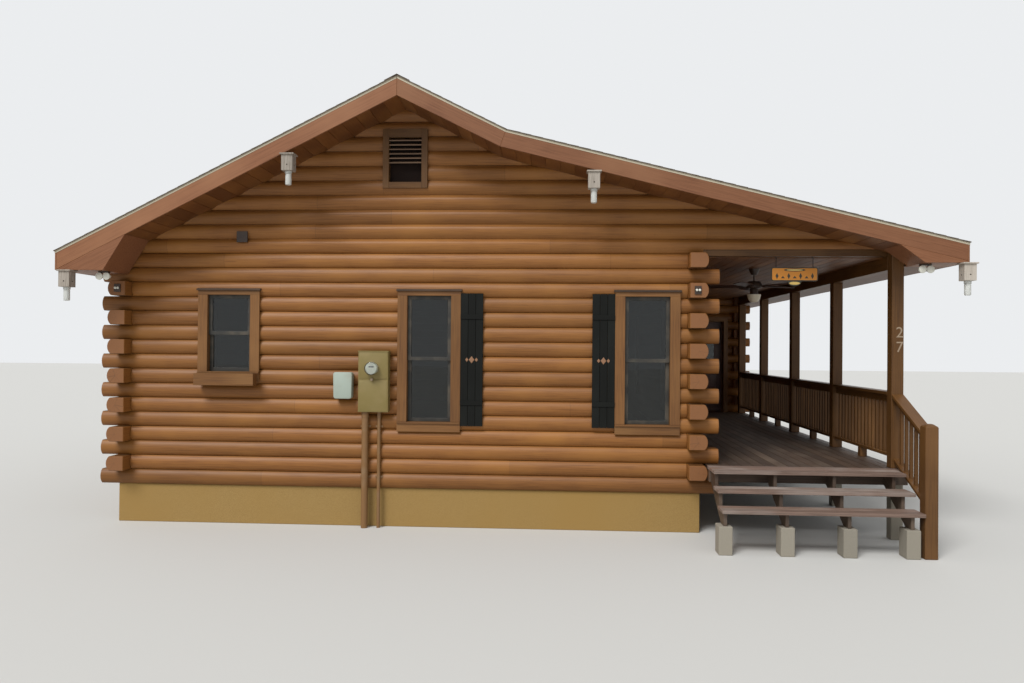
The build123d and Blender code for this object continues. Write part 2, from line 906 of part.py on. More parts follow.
clear_width = window_width - 2 * jamb
clear_head = window_head - jamb
with BuildPart() as window_casings:
    for plane, sill in windows:
        face = plane.offset(log_bow + joint)
        extrude(ring(face, clear_width, sill + jamb, clear_head, casing_side + jamb + jamb,
                     casing_foot + jamb, casing_head + jamb), amount=casing_board)
        extrude(ring(plane.offset(-log_thickness), clear_width, sill + jamb, clear_head,
                     jamb - joint, jamb - joint, jamb - joint),
                amount=log_thickness + log_bow + joint)
        cap_low = window_head + casing_head
        extrude(panel(face, window_width + 2 * (casing_side + jamb + window_cap_side), cap_low,
                      cap_low + window_cap), amount=window_cap_depth)
save("window_casings", window_casings)

with BuildPart() as window_sashes:
    for plane, sill in windows:
        meet = (sill + jamb + clear_head) / 2
        width = clear_width - 2 * joint - 2 * sash_rail
        extrude(ring(plane.offset(sash_face - sash_thickness), width, meet + sash_rail / 2,
                     clear_head - joint - sash_rail, sash_rail, sash_rail, sash_rail),
                amount=sash_thickness)
        extrude(ring(plane.offset(sash_face - 2 * sash_thickness - joint), width,
                     sill + jamb + joint + sash_rail, meet - sash_rail / 2, sash_rail,
                     sash_rail, sash_rail), amount=sash_thickness)
save("window_sashes", window_sashes)

with BuildPart() as window_glass:
    for plane, sill in windows:
        meet = (sill + jamb + clear_head) / 2
        width = clear_width - 2 * joint - 2 * sash_rail
        middle = (sash_thickness + glass_thickness) / 2
        extrude(panel(plane.offset(sash_face - middle), width, meet + sash_rail / 2,
                      clear_head - joint - sash_rail), amount=glass_thickness)
        extrude(panel(plane.offset(sash_face - sash_thickness - joint - middle), width,
                      sill + jamb + joint + sash_rail, meet - sash_rail / 2),
                amount=glass_thickness)
save("window_glass", window_glass)

# Shutters beside the two tall front windows
casing_half = window_width / 2 + casing_side + jamb
with BuildPart() as shutters:
    left_of = front_windows[2][0] - casing_half - joint - shutter_width
    right_of = front_windows[1][0] + casing_half + joint
    for x in (left_of, right_of):
        block(x, x + shutter_width, wall_face - shutter_board, wall_face, above(shutter_bottom),
              above(shutter_bottom + shutter_height))
        for z in (shutter_bottom + batten_inset,
                  shutter_bottom + shutter_height - batten_inset - batten_height):
            block(x, x + shutter_width, wall_face - shutter_board - batten_thickness,
                  wall_face - shutter_board, above(z), above(z + batten_height))
save("shutters", shutters)

# Window box under the short front window, five boards
with BuildPart() as window_box:
    x0 = front_windows[0][0] - planter_width / 2
    x1 = x0 + planter_width
    y1 = wall_face - casing_board
    y0 = y1 - planter_depth
    z0 = above(planter_bottom)
    z1 = z0 + planter_height
    wall = planter_wall
    block(x0, x1, y0, y1, z0, z0 + wall)
    block(x0, x1, y0, y0 + wall, z0 + wall + joint, z1)
    block(x0, x1, y1 - wall, y1, z0 + wall + joint, z1)
    for x in (x0, x1 - wall):
        block(x, x + wall, y0 + wall + joint, y1 - wall - joint, z0 + wall + joint, z1)
save("window_box", window_box)

# Entry door, hinged on its left side and opening into the house
leaf_left = door_centre - door_width / 2
leaf_back = porch_back + log_thickness
leaf_front = leaf_back - door_leaf
leaf_low = above(door_threshold)
door_plane = opening_plane(door_centre, porch_back, (0, -1, 0))
frame_width = door_width + 2 * door_clearance
frame_head = door_height + door_threshold + door_clearance
with BuildPart() as door_frame:
    wall_depth = log_thickness + log_bow + joint
    with BuildSketch(door_plane.offset(-log_thickness)) as lining:
        with Locations((0, (frame_head + door_jamb - joint) / 2)):
            Rectangle(frame_width + 2 * (door_jamb - joint), frame_head + door_jamb - joint)
        with Locations((0, frame_head / 2)):
            Rectangle(frame_width, frame_head, mode=Mode.SUBTRACT)
    extrude(lining.sketch, amount=wall_depth)
    with BuildSketch(door_plane.offset(log_bow + joint)) as casing:
        with Locations((0, (frame_head + door_casing) / 2)):
            Rectangle(frame_width + 2 * door_casing, frame_head + door_casing)
        with Locations((0, frame_head / 2)):
            Rectangle(frame_width, frame_head, mode=Mode.SUBTRACT)
    extrude(casing.sketch, amount=casing_board)
    stop_back = leaf_front - door_clearance
    with BuildSketch(door_plane.offset(porch_back - stop_back)) as stop:
        with Locations((0, frame_head / 2)):
            Rectangle(frame_width, frame_head)
        with Locations((0, (frame_head - door_stop) / 2)):
            Rectangle(frame_width - 2 * door_stop, frame_head - door_stop, mode=Mode.SUBTRACT)
    extrude(stop.sketch, amount=board)
save("door_frame", door_frame)

with BuildPart() as entry_door:
    block(leaf_left, leaf_left + door_width, leaf_front, leaf_back, leaf_low + door_clearance,
          leaf_low + door_height)
    block(door_centre - door_glass_width / 2, door_centre + door_glass_width / 2,
          leaf_front - door_leaf, leaf_back + door_leaf, above(door_glass_bottom),
          above(door_glass_bottom + door_glass_height), mode=Mode.SUBTRACT)
save("entry_door", entry_door)

with BuildPart() as door_glass:
    block(door_centre - door_glass_width / 2, door_centre + door_glass_width / 2,
          leaf_front + door_leaf / 2 - glass_thickness, leaf_front + door_leaf / 2,
          above(door_glass_bottom), above(door_glass_bottom + door_glass_height))
save("door_glass", door_glass)

# Hardware on the door: lever handles on both faces, and the hinges' middle knuckles
handle_x = leaf_left + door_width - handle_inset
pin_x = leaf_left - door_clearance / 2
pin_y = leaf_back + door_swing_offset
with BuildPart() as door_hardware:
    for y, way in ((leaf_front, -1), (leaf_back, 1)):
        base = Plane(origin=(handle_x, y, above(handle_height)), z_dir=(0, way, 0))
        with BuildSketch(base) as rose:
            Rectangle(2 * handle_rose, 2 * handle_rose)
        extrude(rose.sketch, amount=handle_rose_depth)
        with BuildSketch(base.offset(handle_rose_depth)) as neck:
            Rectangle(2 * handle_radius, 2 * handle_radius)
        extrude(neck.sketch, amount=handle_reach - handle_rose_depth)
        tip = y + way * handle_reach
        with BuildSketch(Plane(origin=(handle_x + handle_radius, tip, above(handle_height)),
                               z_dir=(-1, 0, 0))) as lever:
            Rectangle(2 * handle_radius, 2 * handle_radius)
        extrude(lever.sketch, amount=handle_length)
    for height in hinge_heights:
        low = above(height) - hinge_knuckle / 2
        with BuildSketch(Plane(origin=(pin_x, pin_y, low))) as knuckle:
            Circle(hinge_radius)
            Circle(hinge_pin_radius + hinge_clearance, mode=Mode.SUBTRACT)
        extrude(knuckle.sketch, amount=hinge_knuckle)
        block(pin_x + hinge_pin_radius + 1, pin_x + hinge_radius, leaf_back, pin_y, low,
              low + hinge_knuckle)
        block(pin_x + hinge_pin_radius + 1, pin_x + hinge_plate_width, leaf_back,
              leaf_back + hinge_plate, low, low + hinge_knuckle)
save("door_hardware", door_hardware)

# Hinge pins with their end knuckles, on the frame
with BuildPart() as hinge_pins:
    for height in hinge_heights:
        middle = above(height)
        with BuildSketch(Plane(origin=(pin_x, pin_y, middle - 1.5 * hinge_knuckle))) as pin:
            Circle(hinge_pin_radius)
        extrude(pin.sketch, amount=3 * hinge_knuckle)
        for low in (middle - 1.5 * hinge_knuckle, middle + 0.5 * hinge_knuckle + joint):
            with BuildSketch(Plane(origin=(pin_x, pin_y, low))) as knuckle:
                Circle(hinge_radius)
            extrude(knuckle.sketch, amount=hinge_knuckle - joint)
            block(pin_x - hinge_radius, pin_x - hinge_pin_radius, leaf_back, pin_y, low,
                  low + hinge_knuckle - joint)
            block(pin_x - hinge_plate_width, pin_x - hinge_pin_radius, leaf_back,
                  leaf_back + hinge_plate, low, low + hinge_knuckle - joint)
save("hinge_pins", hinge_pins)

# Services on the front wall
cabinet_front = wall_face - cabinet_depth
with BuildPart() as meter_cabinet:
    cabinet_right = cabinet_left + cabinet_width
    seam = above(cabinet_bottom + cabinet_seam)
    block(cabinet_left, cabinet_right, cabinet_front, wall_face, above(cabinet_bottom), seam)
    block(cabinet_left, cabinet_right, cabinet_front, wall_face, seam + joint,
          above(cabinet_bottom + cabinet_height))
    for x, radius in ((conduit_x, conduit_radius), (thin_conduit_x, thin_conduit_radius)):
        with BuildSketch(Plane(origin=(x, wall_face - radius, 0))) as pipe:
            Circle(radius)
        extrude(pipe.sketch, amount=above(cabinet_bottom) - joint)
save("meter_cabinet", meter_cabinet)

with BuildPart() as meter_glass:
    meter_x = cabinet_left + cabinet_width / 2 - meter_ring
    face = Plane(origin=(meter_x, cabinet_front, above(meter_height)), z_dir=(0, -1, 0))
    with BuildSketch(face) as rim:
        Circle(meter_radius)
    extrude(rim.sketch, amount=meter_ring)
    with BuildSketch(face.offset(meter_ring)) as dome:
        Circle(meter_radius - meter_ring)
    extrude(dome.sketch, amount=meter_depth - meter_ring)
    chamfer(meter_glass.edges().sort_by(Axis.Y)[0], length=meter_bevel)
save("meter_glass", meter_glass)

with BuildPart() as cable_box:
    block(cable_box_left, cable_box_left + cable_box_width, wall_face - cable_box_depth, wall_face,
          above(cable_box_bottom), above(cable_box_bottom + cable_box_height))
    fillet(cable_box.edges().group_by(Axis.Y)[0], radius=board)
save("cable_box", cable_box)

# Porch fan
fan_x = (half + log_bow + post_in) / 2 - fan_off_centre
fan_y = front + fan_back
rotor_top = ceiling - fan_rotor_top
rotor_low = rotor_top - fan_rotor_height
collar_top = rotor_low - fan_running_gap
collar_low = collar_top - fan_collar_height
fan_axis = Axis((fan_x, fan_y, 0), (0, 0, 1))
fan_profile = Plane(origin=(fan_x, fan_y, 0), x_dir=(1, 0, 0), z_dir=(0, -1, 0))
with BuildPart() as fan_mount:
    canopy_low = ceiling - fan_canopy_height
    revolve(outline(fan_profile, (
        (0, collar_low), (fan_collar_radius, collar_low), (fan_collar_radius, collar_top),
        (fan_rod_radius, collar_top), (fan_rod_radius, canopy_low),
        (fan_canopy_radius / 2, canopy_low), (fan_canopy_radius, ceiling), (0, ceiling),
    )), axis=fan_axis)
save("fan_mount", fan_mount)

with BuildPart() as fan_rotor:
    with BuildSketch(Plane(origin=(fan_x, fan_y, rotor_low))) as motor:
        Circle(fan_rotor_radius)
    extrude(motor.sketch, amount=fan_rotor_height)
    chamfer(fan_rotor.edges().group_by(Axis.Z)[-1], length=fan_rotor_height / 3)
    middle = rotor_low + fan_rotor_height / 3
    for n in range(blade_count):
        turn = blade_turn + n * 360 / blade_count
        arm = Plane(origin=(fan_x, fan_y, middle), x_dir=(1, 0, 0), z_dir=(0, 0, 1))
        arm = arm.rotated((0, 0, turn))
        root = Plane(origin=arm.origin + arm.x_dir * (fan_rotor_radius - blade_thickness),
                     x_dir=arm.y_dir, z_dir=arm.x_dir).rotated((0, 0, blade_pitch))
        with BuildSketch(root) as blade:
            Rectangle(blade_width, blade_thickness)
        extrude(blade.sketch, amount=blade_length)
    with BuildSketch(Plane(origin=(fan_x, fan_y, rotor_low))) as bore:
        Circle(fan_rod_radius + fan_running_gap)
    extrude(bore.sketch, amount=fan_rotor_height, mode=Mode.SUBTRACT)
save("fan_rotor", fan_rotor)

with BuildPart() as fan_light:
    bowl_low = collar_low - fan_bowl_height
    revolve(outline(fan_profile, (
        (0, bowl_low), (fan_bowl_foot, bowl_low),
        (fan_bowl_belly, collar_low - fan_bowl_belly_drop),
        (fan_bowl_radius, collar_low), (0, collar_low),
    )), axis=fan_axis)
save("fan_light", fan_light)

# Hanging sign: hooks under the header, straps that hang on them, board
sign_y = front + sign_back
hook_z = header_bottom - hook_drop
hook_places = (sign_left + hook_inset, sign_left + sign_width - hook_inset)
with BuildPart() as sign_hooks:
    for x in hook_places:
        block(x - hook_pin_length / 2 - hook_size, x - hook_pin_length / 2, sign_y - hook_size / 2,
              sign_y + hook_size / 2, hook_z - hook_size / 2, header_bottom)
        with BuildSketch(Plane(origin=(x - hook_pin_length / 2, sign_y, hook_z),
                               z_dir=(1, 0, 0))) as pin:
            Circle(hook_pin_radius)
        extrude(pin.sketch, amount=hook_pin_length)
        with BuildSketch(Plane(origin=(x + hook_pin_length / 2, sign_y, hook_z),
                               z_dir=(1, 0, 0))) as head:
            Circle(hook_size / 2 + hook_clearance)
        extrude(head.sketch, amount=strap_thickness)
save("sign_hooks", sign_hooks)

with BuildPart() as sign_straps:
    for x in hook_places:
        eye = Plane(origin=(x - strap_thickness / 2, sign_y, hook_z), x_dir=(0, 1, 0),
                    z_dir=(1, 0, 0))
        with BuildSketch(eye) as strap:
            Circle(strap_width / 2)
            with Locations((0, (above(sign_top) - hook_z) / 2)):
                Rectangle(strap_width, hook_z - above(sign_top))
            Circle(hook_pin_radius + hook_clearance, mode=Mode.SUBTRACT)
        extrude(strap.sketch, amount=strap_thickness)
save("sign_straps", sign_straps)

with BuildPart() as hanging_sign:
    sign_plane = Plane(origin=(sign_left + sign_width / 2, sign_y + sign_thickness / 2,
                               above(sign_top)), x_dir=(1, 0, 0), z_dir=(0, -1, 0))
    with BuildSketch(sign_plane) as sign:
        with Locations((0, -sign_height / 2)):
            RectangleRounded(sign_width, sign_height, sign_corner)
        with Locations((0, -sign_height)):
            Ellipse(sign_oval_width / 2, sign_oval_height)
    extrude(sign.sketch, amount=sign_thickness)
save("hanging_sign", hanging_sign)

# Insect traps: wooden boxes with lids, jars below, hung under the roof's edge
trap_y = roof_front - board / 2
half_lid = trap_lid_size / 2
half_trap = trap_size / 2
trap_places = (
    (left_rake_trap, main_under(half_lid - left_rake_trap) - rake_lip),
    (right_rake_trap, porch_under(half_lid + right_rake_trap) - rake_lip),
    (left_eave_trap_inset - left_edge - board, return_low),
    (right_edge + board - right_eave_trap_inset, porch_return_low),
)
with BuildPart() as insect_traps:
    for x, top in trap_places:
        lid_low = top - joint - trap_lid
        block(x - half_lid, x + half_lid, trap_y - half_lid, trap_y + half_lid, lid_low, top - joint)
        block(x - half_trap, x + half_trap, trap_y - half_trap, trap_y + half_trap,
              top - trap_height, lid_low)
save("insect_traps", insect_traps)

with BuildPart() as trap_jars:
    for x, top in trap_places:
        with BuildSketch(Plane(origin=(x, trap_y, top - trap_height - trap_jar_height))) as jar:
            Circle(trap_jar_radius)
        extrude(jar.sketch, amount=trap_jar_height)
save("trap_jars", trap_jars)

# Lamps: two floodlights under the returns, two small lamps on log ends
flood_y = front - gable_overhang + flood_length
flood_places = ((-return_in - flood_plate, return_low), (porch_return_in + flood_plate,
                                                         porch_return_low))
lamp_z = log_base + 13 * course + (course - end_lamp_height) / 2
with BuildPart() as outdoor_lamps:
    for x, top in flood_places:
        block(x - flood_plate, x + flood_plate, flood_y, flood_y + flood_plate,
              top - joint - board, top - joint)
        for side in (-1, 1):
            with BuildSketch(Plane(origin=(x + side * (flood_radius + joint), flood_y - board,
                                           top - board - flood_radius),
                                   z_dir=(0, 1, 0))) as lamp:
                Circle(flood_radius)
            extrude(lamp.sketch, amount=flood_length)
    for x in (-half + log_thickness / 2, half - log_thickness / 2):
        block(x - end_lamp_width / 2, x + end_lamp_width / 2,
              front - log_tail - end_lamp_depth, front - log_tail, lamp_z,
              lamp_z + end_lamp_height)
save("outdoor_lamps", outdoor_lamps)
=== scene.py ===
"""Log cabin with a covered side porch: its finishes and fine pieces, built round the fixed frame.

Lengths are in metres, with +X to the right seen from the front, +Y towards the back and +Z up.
Fields that end in _mm hold pattern sizes in millimetres.
"""

from __future__ import annotations

import logging
import math
import random
from collections.abc import Callable, Iterable, Sequence
from dataclasses import dataclass, field
from enum import Enum
from functools import partial

import bmesh
import bpy
from mathutils import Matrix, Vector

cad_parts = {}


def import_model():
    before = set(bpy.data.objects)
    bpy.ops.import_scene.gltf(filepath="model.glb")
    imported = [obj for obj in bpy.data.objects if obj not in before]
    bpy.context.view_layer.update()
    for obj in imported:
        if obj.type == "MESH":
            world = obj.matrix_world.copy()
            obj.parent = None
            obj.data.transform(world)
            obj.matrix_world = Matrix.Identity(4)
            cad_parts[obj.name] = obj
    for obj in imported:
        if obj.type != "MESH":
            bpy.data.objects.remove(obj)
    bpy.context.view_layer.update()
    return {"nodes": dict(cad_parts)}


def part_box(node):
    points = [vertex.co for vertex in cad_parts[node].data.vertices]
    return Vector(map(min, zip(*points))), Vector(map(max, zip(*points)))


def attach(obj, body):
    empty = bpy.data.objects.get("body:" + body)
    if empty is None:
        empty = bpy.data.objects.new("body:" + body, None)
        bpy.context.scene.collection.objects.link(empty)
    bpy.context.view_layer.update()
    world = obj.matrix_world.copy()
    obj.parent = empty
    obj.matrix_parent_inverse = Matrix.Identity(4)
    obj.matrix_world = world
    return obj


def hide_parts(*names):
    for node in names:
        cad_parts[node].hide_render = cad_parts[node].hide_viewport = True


LOG = logging.getLogger("cabin")
MILLIMETRE = 0.001

# Distance at which points are one, gap between faces, and angles of sharp and flat edges
MERGE = 0.0001
HAIR = 0.0005
SHARP = math.radians(32)
FLAT = math.radians(0.3)

# Cosine above which two directions count as the same
SAME_WAY = 0.9

# Shares of a board's greatest length between which a row's first joint falls
FIRST_JOINT = (0.35, 0.95)

UP = Vector((0.0, 0.0, 1.0))

BMesh = bmesh.types.BMesh
Node = bpy.types.Node
Verts = list[bmesh.types.BMVert]
Adder = Callable[..., Node]


class Axis(Enum):
    """Axis of a box along which boards run, or follow one another."""

    X = 0
    Y = 1
    Z = 2


# Shader nodes and finishes


def linear(colour: str) -> tuple[float, float, float, float]:
    """Turn an sRGB hex colour into linear values.

    Args:
        colour: Six hex digits after a hash.

    Returns:
        Red, green, blue and an alpha of 1.
    """
    shares = [int(colour[n : n + 2], 16) / 255 for n in (1, 3, 5)]
    values = [s / 12.92 if s <= 0.04045 else ((s + 0.055) / 1.055) ** 2.4 for s in shares]
    return values[0], values[1], values[2], 1.0


def add_node(
    tree: bpy.types.NodeTree, kind: str, inputs: dict | None = None, **settings: object
) -> Node:
    """Add one shader node with its settings, values and links.

    Args:
        tree: Node tree of a material or the world.
        kind: Blender's name for the node, without its ShaderNode prefix.
        inputs: For each input, by name or index, a value, a socket or a node to link.
        settings: Properties of the node.

    Returns:
        The node.
    """
    made = tree.nodes.new("ShaderNode" + kind)
    for name, value in settings.items():
        setattr(made, name, value)
    for key, value in (inputs or {}).items():
        if isinstance(value, Node):
            value = next(out for out in value.outputs if out.enabled)
        if isinstance(value, bpy.types.NodeSocket):
            tree.links.new(value, made.inputs[key])
        else:
            made.inputs[key].default_value = value
    return made


@dataclass(frozen=True)
class Finish:
    """Surface of one material: its name, and the plain values of its shader."""

    name: str
    colour: str
    roughness: float = 0.5
    specular: float = 0.5

    def build(self) -> bpy.types.Material:
        """Make the material.

        Returns:
            The material.
        """
        material = bpy.data.materials.new(self.name)
        material.use_nodes = True
        tree = material.node_tree
        tree.nodes.clear()
        add = partial(add_node, tree)
        inputs = {
            "Base Color": linear(self.colour),
            "Roughness": self.roughness,
            "Specular IOR Level": self.specular,
        }
        inputs.update(self.pattern(add))
        add("OutputMaterial", {"Surface": add("BsdfPrincipled", inputs)})
        return material

    def pattern(self, add: Adder) -> dict:
        """Return the shader inputs that this finish adds to the plain values."""
        return {}


@dataclass(frozen=True)
class Courses:
    """Stacked courses of a log wall, whose tone changes from log to log."""

    base: float
    height: float
    longest: float = 4.88
    seam: float = 0.030
    butt: float = 0.0004
    splash: float = 0.4
    splash_share: float = 0.35

    def tones(self, add: Adder, fibre: Node) -> tuple:
        """Work out each log's tone, and its darkening: dirt with painted shade in its seams, and
        dirt in its butt joints and lowest courses.

        Args:
            add: Adds a node to the material.
            fibre: Coordinates along and across each log.

        Returns:
            The tone and the darkening of dirt and painted shade, both from 0 to 1.
        """
        place = add("SeparateXYZ", {0: add("TexCoord").outputs["Object"]})
        raised = add("Math", {0: place.outputs["Z"], 1: self.base}, operation="SUBTRACT")
        level = add("Math", {0: raised, 1: self.height}, operation="DIVIDE")
        number = add("Math", {0: level}, operation="FLOOR")
        start = add("TexWhiteNoise", {"W": number}, noise_dimensions="1D")
        along = add("SeparateXYZ", {0: fibre})
        run = add("Math", {0: along.outputs["X"], 1: self.longest}, operation="DIVIDE")
        shifted = add("Math", {0: run, 1: start.outputs["Value"]}, operation="ADD")
        piece = add("Math", {0: shifted}, operation="FLOOR")
        both = add("CombineXYZ", {0: number, 1: piece})
        tone = add("TexWhiteNoise", {"Vector": both}, noise_dimensions="2D")
        across = add("Math", {0: level}, operation="FRACT")
        middle = add("Math", {0: across, 1: 0.5}, operation="SUBTRACT")
        from_middle = add("Math", {0: middle}, operation="ABSOLUTE")
        # Seams between logs darken, partly as dirt and partly as painted shade in the groove
        seam = add(
            "MapRange",
            {"Value": from_middle, "From Min": 0.5 - self.seam, "From Max": 0.5},
            interpolation_type="SMOOTHSTEP",
        )
        joint = add("Math", {0: shifted}, operation="FRACT")
        butt = add("MapRange", {"Value": joint, "From Min": 2 * self.butt, "From Max": self.butt})
        low = add(
            "MapRange",
            {"Value": raised, "From Min": self.splash, "From Max": 0.0,
             "To Max": self.splash_share},
        )
        gaps = add("Math", {0: seam, 1: butt}, operation="MAXIMUM")
        return tone.outputs["Value"], add("Math", {0: gaps, 1: low}, operation="MAXIMUM")


@dataclass(frozen=True)
class StainedWood(Finish):
    """Softwood under oil stain: satin, with fibres, knots and drying cracks just visible."""

    dark: str = "#5A3018"
    light: str = "#B77744"
    # Colour of dirt, also used as painted shade in the log seams
    grime_and_shade: str = "#2A190E"
    grime_and_shade_share: float = 0.6
    # Real fibres are about 1 mm wide, and are drawn coarser, so that they show
    fibre_mm: float = 7.0
    streak_mm: float = 420.0
    fibre_roughness: float = 0.6
    fibre_bend: float = 0.4
    relief_mm: float = 0.35
    bump: float = 0.4
    knot_mm: float = 26.0
    knot_gap_mm: float = 420.0
    knot_share: float = 0.5
    check_share: float = 0.0
    patch_mm: float = 900.0
    tone_low: float = 0.84
    tone_high: float = 1.12
    shuffle: tuple[float, float, float] = (17.0, 31.0, 47.0)
    worn: tuple[float, float] = (0.30, 0.56)
    faded: tuple[float, float] = (0.45, 0.80)
    split: tuple[float, float] = (0.76, 0.79)
    gloss: tuple[float, float] = (0.12, -0.10)
    courses: Courses | None = None

    def fibres(self, add: Adder, place: Node, thick: float, detail: float) -> Node:
        """Add noise that is drawn out along the grain.

        Args:
            add: Adds a node to the material.
            place: Coordinates along and across the grain.
            thick: Thickness of a fibre in mm.
            detail: Detail of the noise.

        Returns:
            The noise.
        """
        scale = (1 / (self.streak_mm * MILLIMETRE), *[1 / (thick * MILLIMETRE)] * 2)
        stretched = add("Mapping", {"Vector": place, "Scale": scale})
        return add(
            "TexNoise",
            {"Vector": stretched, "Scale": 1.0, "Detail": detail,
             "Roughness": self.fibre_roughness, "Distortion": self.fibre_bend},
        )

    def pattern(self, add: Adder) -> dict:
        """Lay fibres, cracks, knots, board tones, and dirt with painted shade in the log seams,
        over the stain.

        Args:
            add: Adds a node to the material.

        Returns:
            The shader's inputs.
        """
        tone = add("Attribute", attribute_name="tone").outputs["Fac"]
        shift = add("VectorMath", {0: self.shuffle, "Scale": tone}, operation="SCALE")
        along = add("Attribute", attribute_name="fibre").outputs["Vector"]
        place = add("VectorMath", {0: along, 1: shift}, operation="ADD")
        grime_and_shade = None
        if self.courses is not None:
            tone, grime_and_shade = self.courses.tones(add, place)
        fibres = self.fibres(add, place, self.fibre_mm, 5.0)
        low, high = self.worn
        worn = add("MapRange", {"Value": fibres, "From Min": low, "From Max": high})
        stain = add(
            "Mix", {0: worn, 6: linear(self.dark), 7: linear(self.colour)}, data_type="RGBA"
        )
        patches = add(
            "TexNoise", {"Vector": place, "Scale": 1 / (self.patch_mm * MILLIMETRE), "Detail": 3.0}
        )
        low, high = self.faded
        faded = add("MapRange", {"Value": patches, "From Min": low, "From Max": high})
        bleached = add("Mix", {0: faded, 6: stain, 7: linear(self.light)}, data_type="RGBA")
        strength = add(
            "MapRange", {"Value": tone, "To Min": self.tone_low, "To Max": self.tone_high}
        )
        toned = add("VectorMath", {0: bleached, "Scale": strength}, operation="SCALE")
        cells = add(
            "TexVoronoi", {"Vector": place, "Scale": 1 / (self.knot_gap_mm * MILLIMETRE)}
        )
        radius = self.knot_mm / 2 / self.knot_gap_mm
        flaws = add(
            "MapRange",
            {"Value": cells, "From Min": radius, "From Max": radius / 3, "To Max": self.knot_share},
            interpolation_type="SMOOTHSTEP",
        )
        if self.check_share:
            splits = self.fibres(add, place, self.fibre_mm * 3, 1.0)
            low, high = self.split
            checks = add(
                "MapRange",
                {"Value": splits, "From Min": low, "From Max": high, "To Max": self.check_share},
            )
            flaws = add("Math", {0: flaws, 1: checks}, operation="MAXIMUM")
        colour = add("Mix", {0: flaws, 6: toned, 7: linear(self.dark)}, data_type="RGBA")
        # Darken: painted shade with dirt in the log seams, dirt in butt joints and low courses
        if grime_and_shade is not None:
            share = add("Math", {0: grime_and_shade, 1: self.grime_and_shade_share}, operation="MULTIPLY")
            colour = add("Mix", {0: share, 6: colour, 7: linear(self.grime_and_shade)}, data_type="RGBA")
        rough, smooth = [self.roughness + change for change in self.gloss]
        gloss = add("MapRange", {"Value": fibres, "To Min": rough, "To Max": smooth})
        bump = add(
            "Bump",
            {"Height": fibres, "Strength": self.bump, "Distance": self.relief_mm * MILLIMETRE},
        )
        return {"Base Color": colour, "Roughness": gloss, "Normal": bump}


@dataclass(frozen=True)
class EndGrain(Finish):
    """Sawn end of a log or post under stain: year rings, with cracks out from the heart."""

    dark: str = "#6B4630"
    crack: str = "#24150C"
    # Real rings are 2 to 4 mm apart, and are drawn coarser, so that they show
    ring_mm: float = 7.0
    ring_share: float = 0.6
    relief_mm: float = 0.4
    bump: float = 0.3
    wobble_mm: float = 5.0
    wobble_gap_mm: float = 45.5
    sectors: float = 9.0
    crack_mm: float = 4.0
    crack_share: float = 0.55

    def pattern(self, add: Adder) -> dict:
        """Draw rings and radial cracks about the middle of each piece.

        Args:
            add: Adds a node to the material.

        Returns:
            The shader's inputs.
        """
        tone = add("Attribute", attribute_name="tone").outputs["Fac"]
        across = add("Attribute", attribute_name="fibre").outputs["Vector"]
        flat = add("VectorMath", {0: across, 1: (0.0, 1.0, 1.0)}, operation="MULTIPLY")
        parts = add("SeparateXYZ", {0: flat})
        spacing = self.wobble_gap_mm * MILLIMETRE
        noise = add("TexNoise", {"Vector": flat, "Scale": 1 / spacing, "Detail": 2.0})
        wobble = add("Math", {0: noise, 1: self.wobble_mm * MILLIMETRE}, operation="MULTIPLY")
        radius = add("VectorMath", {0: flat}, operation="LENGTH").outputs["Value"]
        uneven = add("Math", {0: radius, 1: wobble}, operation="ADD")
        turns = math.tau / (self.ring_mm * MILLIMETRE)
        wave = add("Math", {0: uneven, 1: turns}, operation="MULTIPLY")
        rings = add("Math", {0: wave}, operation="SINE")
        share = add("MapRange", {"Value": rings, "From Min": -1.0, "To Max": self.ring_share})
        ringed = add(
            "Mix", {0: share, 6: linear(self.colour), 7: linear(self.dark)}, data_type="RGBA"
        )
        angle = add("Math", {0: parts.outputs["Y"], 1: parts.outputs["Z"]}, operation="ARCTAN2")
        slices = add("Math", {0: angle, 1: self.sectors / math.tau}, operation="MULTIPLY")
        number = add("Math", {0: slices}, operation="FLOOR")
        own = add("TexWhiteNoise", {"W": number}, noise_dimensions="1D")
        depth = add("Math", {0: own.outputs["Value"], 1: tone}, operation="MULTIPLY")
        width = add("Math", {0: depth, 1: self.crack_mm * MILLIMETRE}, operation="MULTIPLY")
        inside = add("Math", {0: slices}, operation="FRACT")
        off = add("Math", {0: inside, 1: 0.5}, operation="SUBTRACT")
        away = add("Math", {0: off}, operation="ABSOLUTE")
        reach = add("Math", {0: away, 1: radius}, operation="MULTIPLY")
        gap = add("Math", {0: reach, 1: width}, operation="LESS_THAN")
        cracked = add("Math", {0: gap, 1: self.crack_share}, operation="MULTIPLY")
        colour = add("Mix", {0: cracked, 6: ringed, 7: linear(self.crack)}, data_type="RGBA")
        bump = add(
            "Bump",
            {"Height": rings, "Strength": self.bump, "Distance": self.relief_mm * MILLIMETRE},
        )
        return {"Base Color": colour, "Normal": bump}


